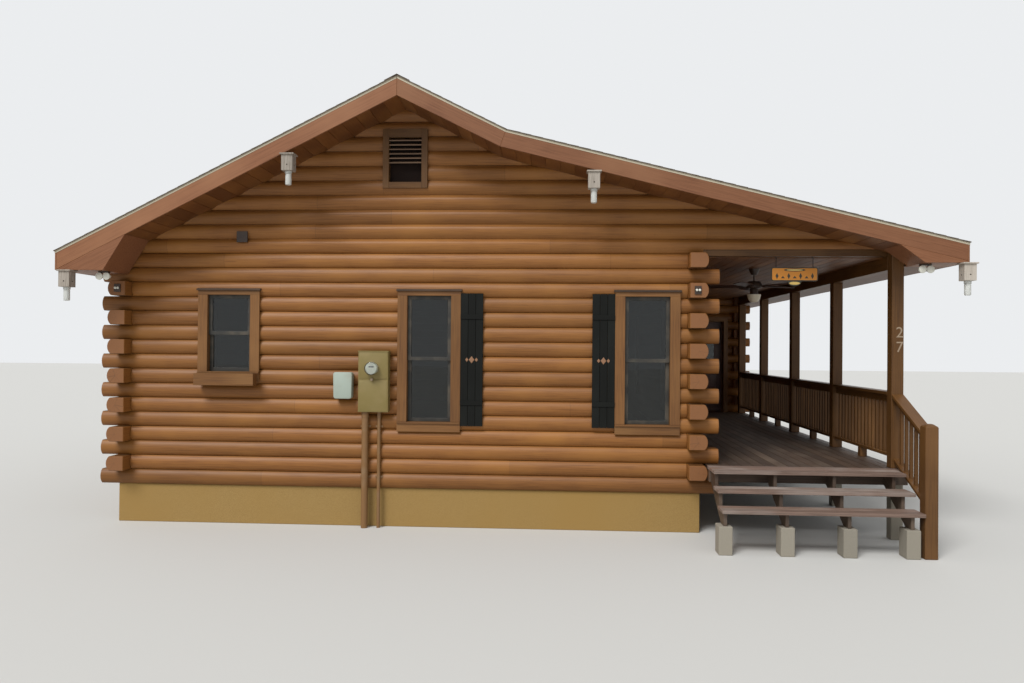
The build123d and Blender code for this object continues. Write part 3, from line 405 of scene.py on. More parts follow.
@dataclass(frozen=True)
class Grit(Finish):
    """Mineral surface, such as shingle granules or a parged wall: matte, with stains and pits."""

    dark: str = "#4A443C"
    light: str = "#8F877A"
    # Real grains are 1 to 2 mm wide, and are drawn coarser, so that they show
    grit_mm: float = 4.0
    grit_roughness: float = 0.8
    speckle: tuple[float, float] = (0.35, 0.65)
    stain_mm: float = 1400.0
    soaked: tuple[float, float] = (0.35, 0.7)
    relief_mm: float = 0.6
    bump: float = 0.6
    tone_low: float = 0.78
    tone_high: float = 1.2

    def pattern(self, add: Adder) -> dict:
        """Scatter grains of two colours, with wide stains and a tone for each piece.

        Args:
            add: Adds a node to the material.

        Returns:
            The shader's inputs.
        """
        place = add("TexCoord").outputs["Object"]
        grains = add(
            "TexNoise",
            {"Vector": place, "Scale": 1 / (self.grit_mm * MILLIMETRE), "Detail": 2.0,
             "Roughness": self.grit_roughness},
        )
        stains = add(
            "TexNoise", {"Vector": place, "Scale": 1 / (self.stain_mm * MILLIMETRE), "Detail": 4.0}
        )
        low, high = self.speckle
        spread = add("MapRange", {"Value": grains, "From Min": low, "From Max": high})
        speckled = add(
            "Mix", {0: spread, 6: linear(self.dark), 7: linear(self.light)}, data_type="RGBA"
        )
        low, high = self.soaked
        stained = add("MapRange", {"Value": stains, "From Min": low, "From Max": high})
        mixed = add("Mix", {0: stained, 6: speckled, 7: linear(self.colour)}, data_type="RGBA")
        tone = add("Attribute", attribute_name="tone").outputs["Fac"]
        strength = add(
            "MapRange", {"Value": tone, "To Min": self.tone_low, "To Max": self.tone_high}
        )
        toned = add("VectorMath", {0: mixed, "Scale": strength}, operation="SCALE")
        bump = add(
            "Bump",
            {"Height": grains, "Strength": self.bump, "Distance": self.relief_mm * MILLIMETRE},
        )
        return {"Base Color": toned, "Normal": bump}


@dataclass(frozen=True)
class Coated(Finish):
    """Paint, powder coat or moulded plastic: an even colour with faint orange peel and dust."""

    dust: str = "#8A7B66"
    dust_share: float = 0.25
    # Real orange peel is about 1 mm wide, and is drawn coarser, so that it shows
    peel_mm: float = 3.0
    relief_mm: float = 0.08
    bump: float = 0.3
    patch_mm: float = 166.67
    dusty: tuple[float, float] = (0.45, 0.8)
    gloss: tuple[float, float] = (-0.08, 0.12)

    def pattern(self, add: Adder) -> dict:
        """Lay dust in wide patches over a fine orange peel.

        Args:
            add: Adds a node to the material.

        Returns:
            The shader's inputs.
        """
        place = add("TexCoord").outputs["Object"]
        peel = add(
            "TexNoise", {"Vector": place, "Scale": 1 / (self.peel_mm * MILLIMETRE), "Detail": 2.0}
        )
        spacing = self.patch_mm * MILLIMETRE
        patches = add("TexNoise", {"Vector": place, "Scale": 1 / spacing, "Detail": 5.0})
        low, high = self.dusty
        dusty = add(
            "MapRange",
            {"Value": patches, "From Min": low, "From Max": high, "To Max": self.dust_share},
        )
        colour = add(
            "Mix", {0: dusty, 6: linear(self.colour), 7: linear(self.dust)}, data_type="RGBA"
        )
        smooth, rough = [self.roughness + change for change in self.gloss]
        gloss = add("MapRange", {"Value": patches, "To Min": smooth, "To Max": rough})
        bump = add(
            "Bump",
            {"Height": peel, "Strength": self.bump, "Distance": self.relief_mm * MILLIMETRE},
        )
        return {"Base Color": colour, "Roughness": gloss, "Normal": bump}


@dataclass(frozen=True)
class Glazing(Finish):
    """Float or blown glass: smooth and clear, with a faint tint and a little waviness."""

    transmission: float = 1.0
    ior: float = 1.5
    wave_mm: float = 350.0
    bump: float = 0.2

    def pattern(self, add: Adder) -> dict:
        """Bend the reflections a little, as old panes do.

        Args:
            add: Adds a node to the material.

        Returns:
            The shader's inputs.
        """
        place = add("TexCoord").outputs["Object"]
        waves = add("TexNoise", {"Vector": place, "Scale": 1 / (self.wave_mm * MILLIMETRE)})
        bump = add("Bump", {"Height": waves, "Strength": self.bump, "Distance": MILLIMETRE})
        return {"Transmission Weight": self.transmission, "IOR": self.ior, "Normal": bump}


# Mesh helpers


def add_block(
    mesh: BMesh, low: Sequence[float], high: Sequence[float], place: Matrix | None = None
) -> Verts:
    """Add a box between two corners.

    Args:
        mesh: Mesh that gets the box.
        low: Lowest corner.
        high: Highest corner.
        place: Matrix of its place.

    Returns:
        The box's vertices.
    """
    low, high = Vector(low), Vector(high)
    verts = bmesh.ops.create_cube(mesh, size=1.0)["verts"]
    bmesh.ops.scale(mesh, vec=high - low, verts=verts)
    bmesh.ops.translate(mesh, vec=(low + high) / 2, verts=verts)
    if place is not None:
        bmesh.ops.transform(mesh, matrix=place, verts=verts)
    return verts


def aim(origin: Vector, along: Vector, up: Vector = UP) -> Matrix:
    """Make a matrix whose X axis runs along a direction, with Z as near to up as can be.

    Args:
        origin: Where the matrix puts its origin.
        along: Direction of its X axis.
        up: Direction that its Z axis keeps near to.

    Returns:
        The matrix.
    """
    x = along.normalized()
    y = up.cross(x).normalized()
    matrix = Matrix((x, y, x.cross(y))).transposed().to_4x4()
    matrix.translation = origin
    return matrix


def facing(origin: Sequence[float], outward: Sequence[float]) -> Matrix:
    """Make a matrix with X along a wall, Y up and Z outwards from it.

    Args:
        origin: Where the matrix puts its origin.
        outward: Level direction of its Z axis.

    Returns:
        The matrix.
    """
    z = Vector(outward)
    matrix = Matrix((UP.cross(z), UP, z)).transposed().to_4x4()
    matrix.translation = Vector(origin)
    return matrix


def add_bar(mesh: BMesh, start: Vector, end: Vector, width: float, height: float) -> Verts:
    """Add a straight bar of a rectangular section.

    Args:
        mesh: Mesh that gets the bar.
        start: First end of its middle line.
        end: Last end of its middle line.
        width: Level width of its section.
        height: Height of its section.

    Returns:
        The bar's vertices.
    """
    low = (0, -width / 2, -height / 2)
    high = ((end - start).length, width / 2, height / 2)
    return add_block(mesh, low, high, aim(start, end - start))


def add_rod(
    mesh: BMesh, start: Sequence[float], end: Sequence[float], radius: float, sides: int = 16
) -> Verts:
    """Add a round rod.

    Args:
        mesh: Mesh that gets the rod.
        start: First end of its middle line.
        end: Last end of its middle line.
        radius: Its radius.
        sides: Number of its sides.

    Returns:
        The rod's vertices.
    """
    start, end = Vector(start), Vector(end)
    along = end - start
    turn = UP.rotation_difference(along).to_matrix().to_4x4()
    return bmesh.ops.create_cone(
        mesh, cap_ends=True, segments=sides, radius1=radius, radius2=radius, depth=along.length,
        matrix=Matrix.Translation((start + end) / 2) @ turn,
    )["verts"]


def join(mesh: BMesh, part: BMesh, place: Matrix | None = None) -> None:
    """Move a part's geometry into a mesh, and free the part.

    Args:
        mesh: Mesh that gets the geometry.
        part: Part that is used up.
        place: Matrix of its place.
    """
    data = bpy.data.meshes.new("part")
    part.to_mesh(data)
    part.free()
    if place is not None:
        data.transform(place)
    mesh.from_mesh(data)
    bpy.data.meshes.remove(data)


def add_turned(
    mesh: BMesh, profile: Iterable[tuple[float, float]], place: Matrix, steps: int = 40
) -> None:
    """Turn a profile into a round shape about a place's Z axis.

    Args:
        mesh: Mesh that gets the shape.
        profile: Radius and height of each of the profile's points.
        place: Matrix of its place.
        steps: Number of the shape's sides.
    """
    part = bmesh.new()
    points = [part.verts.new((radius, 0.0, height)) for radius, height in profile]
    edges = [part.edges.new(pair) for pair in zip(points, points[1:])]
    bmesh.ops.spin(
        part, geom=points + edges, cent=(0, 0, 0), axis=(0, 0, 1), angle=math.tau, steps=steps,
        use_merge=True,
    )
    bmesh.ops.remove_doubles(part, verts=part.verts, dist=MERGE)
    bmesh.ops.recalc_face_normals(part, faces=part.faces)
    join(mesh, part, place)


def round_corners(part: BMesh, radius: float) -> None:
    """Round the edges of a part that run along Z.

    Args:
        part: Part to change.
        radius: Radius of the rounding.
    """
    upright = [
        edge for edge in part.edges if abs(edge.verts[0].co.z - edge.verts[1].co.z) > MERGE
    ]
    bmesh.ops.bevel(
        part, geom=upright, offset=radius, offset_type="OFFSET", affect="EDGES", segments=5,
        profile=0.5, material=-1,
    )


def add_panel(
    mesh: BMesh, low: Sequence[float], high: Sequence[float], place: Matrix,
    corner: float, edge: float,
) -> None:
    """Add a flat panel that faces local Z, with rounded corners and an eased front edge.

    Args:
        mesh: Mesh that gets the panel.
        low: Lowest corner.
        high: Highest corner.
        place: Matrix of its place.
        corner: Radius of its corners, or zero.
        edge: Width of the bevel round its face.
    """
    part = bmesh.new()
    add_block(part, low, high)
    if corner:
        round_corners(part, corner)
    part.normal_update()
    rim = [
        line for line in part.edges
        if all(abs(vert.co.z - high[2]) < MERGE for vert in line.verts)
        and any(abs(face.normal.z) < 0.5 for face in line.link_faces)
    ]
    bmesh.ops.bevel(
        part, geom=rim, offset=edge, offset_type="OFFSET", affect="EDGES", segments=2,
        profile=0.5, material=-1,
    )
    join(mesh, part, place)


def stamp(mesh: BMesh, pattern: bpy.types.Mesh, place: Matrix) -> None:
    """Add a copy of a small pattern.

    Args:
        mesh: Mesh that gets the copy.
        pattern: Mesh to copy.
        place: Matrix of its place.
    """
    copy = pattern.copy()
    copy.transform(place)
    mesh.from_mesh(copy)
    bpy.data.meshes.remove(copy)


def soften(mesh: BMesh, width: float, hidden: Callable[[Vector], bool] | None = None) -> None:
    """Round a mesh's hard edges by a small bevel.

    Args:
        mesh: Mesh to change.
        width: Width of the bevel.
        hidden: Says of an edge's middle whether that edge stays as it is.
    """
    hard = [
        edge for edge in mesh.edges if edge.is_manifold and abs(edge.calc_face_angle(0)) > SHARP
    ]
    if hidden is not None:
        hard = [
            edge for edge in hard if not hidden((edge.verts[0].co + edge.verts[1].co) / 2)
        ]
    bmesh.ops.bevel(
        mesh, geom=hard, offset=width, offset_type="OFFSET", affect="EDGES", segments=1,
        profile=0.5, material=-1, clamp_overlap=True,
    )


def solids(mesh: BMesh) -> list[Verts]:
    """Group a mesh's vertices by loose solid.

    Args:
        mesh: Mesh to look through.

    Returns:
        The vertices of each solid.
    """
    found = []
    done: set[bmesh.types.BMVert] = set()
    for first in mesh.verts:
        if first in done:
            continue
        done.add(first)
        solid = [first]
        for vert in solid:
            for edge in vert.link_edges:
                other = edge.other_vert(vert)
                if other not in done:
                    done.add(other)
                    solid.append(other)
        found.append(solid)
    return found


def span(verts: Verts) -> tuple[Vector, Vector]:
    """Return the lowest and highest corners of some vertices."""
    columns = list(zip(*(vert.co for vert in verts)))
    return Vector([min(column) for column in columns]), Vector([max(column) for column in columns])


def take(mesh: BMesh, wanted: Callable[[Vector, Vector], bool]) -> BMesh:
    """Move some of a mesh's loose solids to a mesh of their own.

    Args:
        mesh: Mesh that loses the solids.
        wanted: Says from a solid's lowest and highest corners whether it moves.

    Returns:
        The new mesh.
    """
    taken = mesh.copy()
    for whole, kept in ((mesh, False), (taken, True)):
        gone = [
            vert for solid in solids(whole) if wanted(*span(solid)) != kept for vert in solid
        ]
        bmesh.ops.delete(whole, geom=gone, context="VERTS")
    return taken


def mark_grain(mesh: BMesh, seed: int, ends: bool) -> None:
    """Give each loose solid a tone of its own and coordinates along and across its grain.

    Args:
        mesh: Mesh whose vertices get the values; the grain follows a solid's longest edge.
        seed: Seed of the tones.
        ends: Whether faces across the grain get the second material.
    """
    mesh.normal_update()
    tone = mesh.verts.layers.float.new("tone")
    fibre = mesh.verts.layers.float_vector.new("fibre")
    dice = random.Random(seed)
    for solid in solids(mesh):
        longest = Vector()
        for vert in solid:
            for edge in vert.link_edges:
                reach = edge.verts[1].co - edge.verts[0].co
                if reach.length > longest.length + MERGE:
                    longest = reach
        along = longest.normalized()
        side = (UP if abs(along.z) < SAME_WAY else Vector((0, 1, 0))).cross(along).normalized()
        across = along.cross(side)
        low, high = span(solid)
        middle = (low + high) / 2
        value = dice.random()
        for vert in solid:
            off = vert.co - middle
            vert[tone] = value
            vert[fibre] = (vert.co.dot(along), off.dot(side), off.dot(across))
            if ends:
                for face in vert.link_faces:
                    face.material_index = int(abs(face.normal.dot(along)) > SAME_WAY)


def deliver(
    name: str,
    mesh: BMesh,
    material: bpy.types.Material,
    body: str = "cabin",
    replaces: Sequence[str] = (),
    ends: bpy.types.Material | None = None,
) -> bpy.types.Object:
    """Turn a finished mesh into a piece that moves with its body.

    Args:
        name: Name of the piece.
        mesh: Mesh in the frame's own coordinates, which is used up.
        material: Material of the piece.
        body: Body that carries the piece.
        replaces: Nodes of the frame that the piece stands for.
        ends: Material of faces across the grain, where it differs.

    Returns:
        The piece's object.
    """
    mark_grain(mesh, sum(map(ord, name)), ends is not None)
    for face in mesh.faces:
        face.smooth = True
    for edge in mesh.edges:
        edge.smooth = edge.is_manifold and abs(edge.calc_face_angle(0)) < SHARP
    data = bpy.data.meshes.new(name)
    mesh.to_mesh(data)
    mesh.free()
    data.materials.append(material)
    if ends is not None:
        data.materials.append(ends)
    piece = bpy.data.objects.new(name, data)
    bpy.context.scene.collection.objects.link(piece)
    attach(piece, body)
    if replaces:
        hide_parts(*replaces)
    LOG.info("%s: %d faces on %s", name, len(data.polygons), body)
    return piece


def lay_boards(
    mesh: BMesh, low: Vector, high: Vector, run: Axis, side: Axis, width: float,
    gap: float, longest: float, dice: random.Random, place: Matrix | None = None,
) -> None:
    """Fill a box with boards laid side by side, with butt joints at uneven places.

    Args:
        mesh: Mesh that gets the boards.
        low: Lowest corner of the box.
        high: Highest corner of the box.
        run: Axis along which the boards run.
        side: Axis along which one board follows the other.
        width: Width of a board, changed a little so that whole boards fill the box.
        gap: Gap between boards.
        longest: Greatest length of a board.
        dice: Picks the joints.
        place: Matrix of its place.
    """
    count = max(1, round((high[side.value] - low[side.value]) / width))
    pitch = (high[side.value] - low[side.value]) / count
    reach = high[run.value] - low[run.value]
    for number in range(count):
        cuts = [0.0]
        if reach > longest:
            cuts.append(longest * dice.uniform(*FIRST_JOINT))
            while reach - cuts[-1] > longest:
                cuts.append(cuts[-1] + longest)
        cuts.append(reach)
        for start, end in zip(cuts, cuts[1:]):
            first, last = low.copy(), high.copy()
            first[side.value] = low[side.value] + number * pitch + gap / 2
            last[side.value] = first[side.value] + pitch - gap
            first[run.value] = low[run.value] + start + HAIR
            last[run.value] = low[run.value] + end - HAIR
            add_block(mesh, first, last, place)


@dataclass
class Cabin:
    """Main lines of the cabin, read from the frame, and what its pieces share."""

    nodes: dict[str, bpy.types.Object]
    tail: float = 0.200
    bow: float = 0.040
    thickness: float = 0.184
    course_count: int = 16
    roof_depth: float = 0.200
    main_slope: float = 0.5
    porch_slope: float = 0.25
    seat: float = 0.080
    board: float = 0.020
    post: float = 0.140
    materials: dict[str, bpy.types.Material] = field(default_factory=dict)

    def __post_init__(self) -> None:
        """Read the main lines from the boxes of the frame's nodes."""
        wall_low, wall_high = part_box("front_wall")
        roof_low, roof_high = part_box("roof_slopes")
        self.half = wall_high.x - self.tail
        self.front = wall_low.y + self.bow
        self.log_base = wall_low.z
        self.log_top = wall_high.z + HAIR
        self.course = (self.log_top - self.log_base) / self.course_count
        self.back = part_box("back_wall")[1].y - self.bow
        self.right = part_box("rear_side_wall")[1].x
        self.rear_wall = self.right - self.bow
        self.porch_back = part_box("porch_end_wall")[0].y + self.bow
        self.deck_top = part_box("deck")[1].z
        self.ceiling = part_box("fan_mount")[1].z
        self.roof_front = roof_low.y
        self.roof_back = roof_high.y
        self.left_edge = -roof_low.x
        self.right_edge = roof_high.x
        self.ridge_under = self.log_top + self.main_slope * (self.half - self.seat)
        self.porch_start = self.log_top + self.porch_slope * self.rear_wall
        self.main_drop = self.roof_depth * math.hypot(1, self.main_slope)
        self.porch_drop = self.roof_depth * math.hypot(1, self.porch_slope)
        self.notch_x = self.rear_wall - self.thickness - 2 * HAIR
        self.notch_y = self.porch_back - self.tail - 2 * HAIR

    def under(self, x: float) -> float:
        """Return the height of the roof's underside at a place across the cabin."""
        main = self.ridge_under - self.main_slope * abs(x)
        return main if x <= 0 else max(main, self.porch_start - self.porch_slope * x)

    def over(self, x: float) -> float:
        """Work out the height of the roof's top.

        Args:
            x: Place across the cabin.

        Returns:
            The height.
        """
        main = self.ridge_under + self.main_drop - self.main_slope * abs(x)
        porch = self.porch_start + self.porch_drop - self.porch_slope * x
        return main if x <= 0 else max(main, porch)

    def break_under(self) -> float:
        """Return the place where the underside turns to the porch's slope."""
        return (self.ridge_under - self.porch_start) / (self.main_slope - self.porch_slope)

    def break_over(self) -> float:
        """Return the place where the roof's top turns to the porch's slope."""
        rise = self.ridge_under + self.main_drop - self.porch_start - self.porch_drop
        return rise / (self.main_slope - self.porch_slope)

    def copy(self, name: str) -> BMesh:
        """Copy a node's mesh, merged and with flat faces made whole.

        Args:
            name: Name of the node.

        Returns:
            The copy.
        """
        mesh = bmesh.new()
        mesh.from_mesh(self.nodes[name].data)
        bmesh.ops.remove_doubles(mesh, verts=mesh.verts, dist=MERGE)
        bmesh.ops.dissolve_limit(mesh, angle_limit=FLAT, verts=mesh.verts, edges=mesh.edges)
        return mesh

    def spans(self, name: str) -> list[tuple[Vector, Vector]]:
        """Measure each solid of a node.

        Args:
            name: Name of the node.

        Returns:
            The lowest and highest corners of each solid.
        """
        mesh = self.copy(name)
        found = [span(solid) for solid in solids(mesh)]
        mesh.free()
        return found

    def give(
        self, name: str, mesh: BMesh, material: str, slot: str, body: str = "cabin",
        replaces: Sequence[str] = (), ends: str | None = None,
    ) -> None:
        """Deliver a mesh, with its materials given by name and the rest as deliver takes it."""
        end_material = self.materials[ends] if ends else None
        deliver(name, mesh, self.materials[material], body, replaces, end_material)

    def softened(
        self, name: str, node: str, material: str, slot: str, width: float, body: str = "cabin",
        ends: str | None = None,
    ) -> None:
        """Deliver a copy of one node with its edges rounded, in place of the node.

        Args:
            name: Name of the piece.
            node: Node that is copied and replaced.
            material: Name of its material.
            slot: Its material slot, which is not used.
            width: Width of the bevel.
            body: Body that carries it.
            ends: Name of the material of faces across the grain, where it differs.
        """
        mesh = self.copy(node)
        soften(mesh, width)
        self.give(name, mesh, material, slot, body, [node], ends)


@dataclass
class Finishes:
    """Materials of the cabin, each named for what the real one is, but for a dark one of painted
    shade.
    """

    cabin: Cabin

    def wood(self) -> list[Finish]:
        """List the stained, painted and weathered woods.

        Returns:
            The finishes.
        """
        courses = Courses(self.cabin.log_base, self.cabin.course)
        trim = {"knot_share": 0.0, "roughness": 0.45, "specular": 0.3}
        return [
            # Logs under oil stain: satin honey brown, with fibres, drying cracks, and seams
            # darkened by dirt and painted shade
            StainedWood("log_stain", "#8A5A2A", dark="#6D421C", light="#98662F", roughness=0.48,
                        specular=0.35, check_share=0.5, knot_share=0.35, courses=courses),
            # Sawn log ends under the same stain: duller and darker, with rings and cracks
            EndGrain("log_end_grain", "#87582F", 0.6, dark="#6A4224"),
            # Vent slats under old stain: grey-brown and even
            StainedWood("louvre_stain", "#7A604C", dark="#604A3A", light="#8A705A", **trim),
            # Rake boards under stain: reddish brown and smooth
            StainedWood("rake_stain", "#85583C", dark="#6A4229", light="#936748", **trim),
            # Planed posts, rails and beams under stain: dark and smooth, with a low sheen
            StainedWood("trim_stain", "#5E3F1E", dark="#432A14", light="#6F4D2A", **trim),
            # Sawn timber ends: they drink more stain, so they are dull, with rings
            EndGrain("timber_end_grain", "#6C4A28", 0.6, dark="#50351C"),
            # Planed casing boards under stain: mid brown and smooth
            StainedWood("casing_stain", "#77512C", dark="#573820", light="#866038", **trim),
            # Caps that rain has worn: dark and dull, with raised grain
            StainedWood("weathered_cap", "#4A3626", dark="#2E2118", light="#5E4836",
                        roughness=0.8, relief_mm=0.8, knot_share=0.0),
            # Soffit and ceiling boards under stain: dark, warm and satin, each of its own tone
            StainedWood("soffit_stain", "#653B1A", dark="#5C3616", light="#8A5A2C",
                        roughness=0.5, tone_low=0.86, tone_high=1.1, knot_share=0.3),
            # Deck boards worn by feet: dark stain that greys along the grain, with cracks
            StainedWood("deck_stain", "#4B392B", dark="#2A1F16", light="#68594B", roughness=0.6,
                        relief_mm=0.8, tone_low=0.78, tone_high=1.18, check_share=0.4),
            # Treads under the same stain, bleached by the sun: pale grey-brown
            StainedWood("tread_stain", "#80695C", dark="#4C3A30", light="#A49A92", roughness=0.6,
                        relief_mm=0.8, tone_low=0.85, tone_high=1.15, check_share=0.5),
            # Floor boards under varnish: golden, with a clear sheen
            StainedWood("floor_varnish", "#A87C4E", dark="#7A5228", light="#C69C68",
                        roughness=0.3),
            # Bare cedar after years outside: silver grey, rough and fibrous
            StainedWood("weathered_cedar", "#A89E92", dark="#665C50", light="#C4BCB0",
                        roughness=0.85, relief_mm=1.0, fibre_mm=5.0, streak_mm=160.0,
                        knot_share=0.2),
            # Brushed paint on boards: nearly black, with faint grain and little sheen
            StainedWood("shutter_paint", "#121310", dark="#0C0D0B", light="#1C1E1B",
                        knot_share=0.0, roughness=0.55, relief_mm=0.25, specular=0.15),
            # Plywood fan blades under varnish: dark brown, with a sheen
            StainedWood("fan_blade_varnish", "#3A241A", dark="#22140D", light="#54372A",
                        knot_share=0.0, roughness=0.35),
        ]

    def others(self) -> list[Finish]:
        """List the mineral, painted, moulded and glass finishes.

        Returns:
            The finishes.
        """
        return [
            # Trowelled cement render under ochre paint: matte and gritty, with wide stains
            Grit("parged_masonry", "#9A7A42", 0.9, dark="#7E6230", light="#B0915A",
                 grit_mm=6.0, tone_low=0.92, tone_high=1.05, relief_mm=1.2),
            # Cast concrete: matte grey, pitted and stained
            Grit("cast_concrete", "#8E8779", 0.9, dark="#6D675B", light="#A8A193",
                 grit_mm=5.0, tone_low=0.9, tone_high=1.08, relief_mm=1.0),
            # Mineral granules on asphalt: matte and speckled, each tab of its own tone
            Grit("asphalt_shingle", "#6E6255", 0.95, dark="#453D35", light="#8E8273"),
            # Baked enamel on folded aluminium: pale and even
            Coated("drip_edge_enamel", "#B9AF98", 0.5),
            # Baked enamel on a pressed steel door: red-brown, with a soft sheen
            Coated("door_enamel", "#4E2A20", 0.4),
            # Extruded vinyl: dark and satin, under a film of dust
            Coated("sash_vinyl", "#2A2823", 0.5, dust_share=0.35),
            # Baked enamel on sheet steel: olive, chalked by the sun in patches
            Coated("cabinet_enamel", "#7B6B39", 0.5, dust="#8F7B52", dust_share=0.5),
            # Brushed paint on pipe: brown like the wall, and dusty
            Coated("conduit_paint", "#7D5A33", 0.5, dust_share=0.4),
            # Moulded plastic: pale grey-green, with a dull sheen
            Coated("grey_plastic", "#A0AB9F", 0.45, dust_share=0.3),
            # Moulded plastic behind glass: clean off-white
            Coated("meter_plastic", "#D6D8CC", 0.35, dust_share=0.1),
            # Polished plastic over a display that is off: glossy and nearly black
            Coated("display_plastic", "#23282A", 0.2, dust_share=0.0),
            # Enamel on bent steel: black, with a low sheen
            Coated("black_enamel", "#171513", 0.45, dust_share=0.15),
            # Powder coat on castings: dark bronze brown, with a soft sheen
            Coated("bronze_enamel", "#33241B", 0.4, dust_share=0.15),
            # Painted shade: dark and matte, for the space behind the vents' insect screen, too fine
            # to show its weave, and inside the traps' entry holes
            Coated("dark_painted_shade", "#1E1410", 0.9, specular=0.2, dust="#3A2A22", dust_share=0.3),
            # Pressed glass bulbs, frosted inside: pale and smooth
            Coated("lamp_bulb", "#D9D8CC", 0.3, dust_share=0.15),
            # Gloss paint on board: clear orange, dark and cream fields
            Coated("sign_orange", "#CF8422", 0.35, dust_share=0.15),
            Coated("sign_dark", "#2C2B1C", 0.4, dust_share=0.1),
            Coated("sign_cream", "#E0BE6A", 0.4, dust_share=0.1),
            # Brushed paint on cut plywood: dull tan
            Coated("motif_paint", "#8A6448", 0.5),
            # Lacquered steel: dull bronze, nearly without shine
            Coated("digit_steel", "#94806A", 0.4),
            # Float glass, faintly green, with a grey tint darker than real glass so that panes look
            # dark: partly painted shade of the room behind
            Glazing("window_glass", "#7F8A86", 0.02),
            # Blown glass: clear, with bright glints on its edge
            Glazing("dome_glass", "#F2F4F2", 0.02),
            # Blow-moulded polythene: milky, so that light only glows in it
            Glazing("milky_jar", "#DFE0DA", 0.35, transmission=0.35),
            # Etched glass: warm white that hides the bulb
            Glazing("frosted_bowl", "#F4EAD2", 0.45, transmission=0.3),
        ]

    def build(self) -> None:
        """Make every material and hand them to the cabin."""
        for finish in [*self.wood(), *self.others()]:
            self.cabin.materials[finish.name] = finish.build()


@dataclass
class LogShell:
    """Log walls and the half-log siding of the gables."""

    cabin: Cabin
    seam: float = 0.006
    reach: float = 0.300
    nodes: tuple[str, ...] = (
        "front_wall", "back_wall", "left_wall", "porch_side_wall", "porch_end_wall",
        "rear_side_wall", "gable_walls",
    )

    def build(self) -> None:
        """Deliver each wall with its seams eased, but for the cuts that the casings cover."""
        cabin = self.cabin
        windows = Windows(cabin)
        views = [
            (opening.place(cabin.deck_top).inverted(), opening.sill)
            for opening in windows.openings()
        ]
        side, head = windows.width / 2 + MERGE, windows.head + MERGE

        def hidden(spot: Vector) -> bool:
            """Say whether a spot lies on the cut of a window's opening.

            Args:
                spot: The spot.

            Returns:
                Whether it does.
            """
            for view, sill in views:
                seen = view @ spot
                if (abs(seen.x) < side and sill - MERGE < seen.y < head
                        and abs(seen.z) < self.reach):
                    return True
            return False

        for node in self.nodes:
            mesh = cabin.copy(node)
            soften(mesh, self.seam, hidden)
            cabin.give(f"{node}_logs", mesh, "log_stain", "log_wood", replaces=[node],
                       ends="log_end_grain")


@dataclass
class Ground:
    """Foundation, piers and the floor inside."""

    cabin: Cabin
    edge: float = 0.006
    floor_board: float = 0.133
    floor_depth: float = 0.019
    floor_gap: float = 0.001
    longest: float = 2.4
    seed: int = 23

    def build(self) -> None:
        """Deliver the parged walls, the piers, and the floor's boards on its base."""
        cabin = self.cabin
        cabin.softened("foundation_walls", "foundation", "parged_masonry", "masonry", self.edge)
        cabin.softened("deck_piers", "piers", "cast_concrete", "masonry", self.edge)
        low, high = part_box("floor")
        base = cabin.copy("floor")
        top = [vert for vert in base.verts if vert.co.z > high.z - MERGE]
        bmesh.ops.translate(base, vec=(0, 0, -self.floor_depth), verts=top)
        cabin.give("floor_base", base, "soffit_stain", "floor_board", replaces=["floor"])
        turn = -low.x
        behind = low.y - cabin.front + cabin.porch_back
        boards = bmesh.new()
        dice = random.Random(self.seed)
        bottom = high.z - self.floor_depth
        for first, last in (
            (Vector((low.x, low.y, bottom)), Vector((turn, high.y, high.z))),
            (Vector((turn, behind, bottom)), high),
        ):
            lay_boards(boards, first, last, Axis.Y, Axis.X, self.floor_board, self.floor_gap,
                       self.longest, dice)
        cabin.give("floor_boards", boards, "floor_varnish", "floor_board")


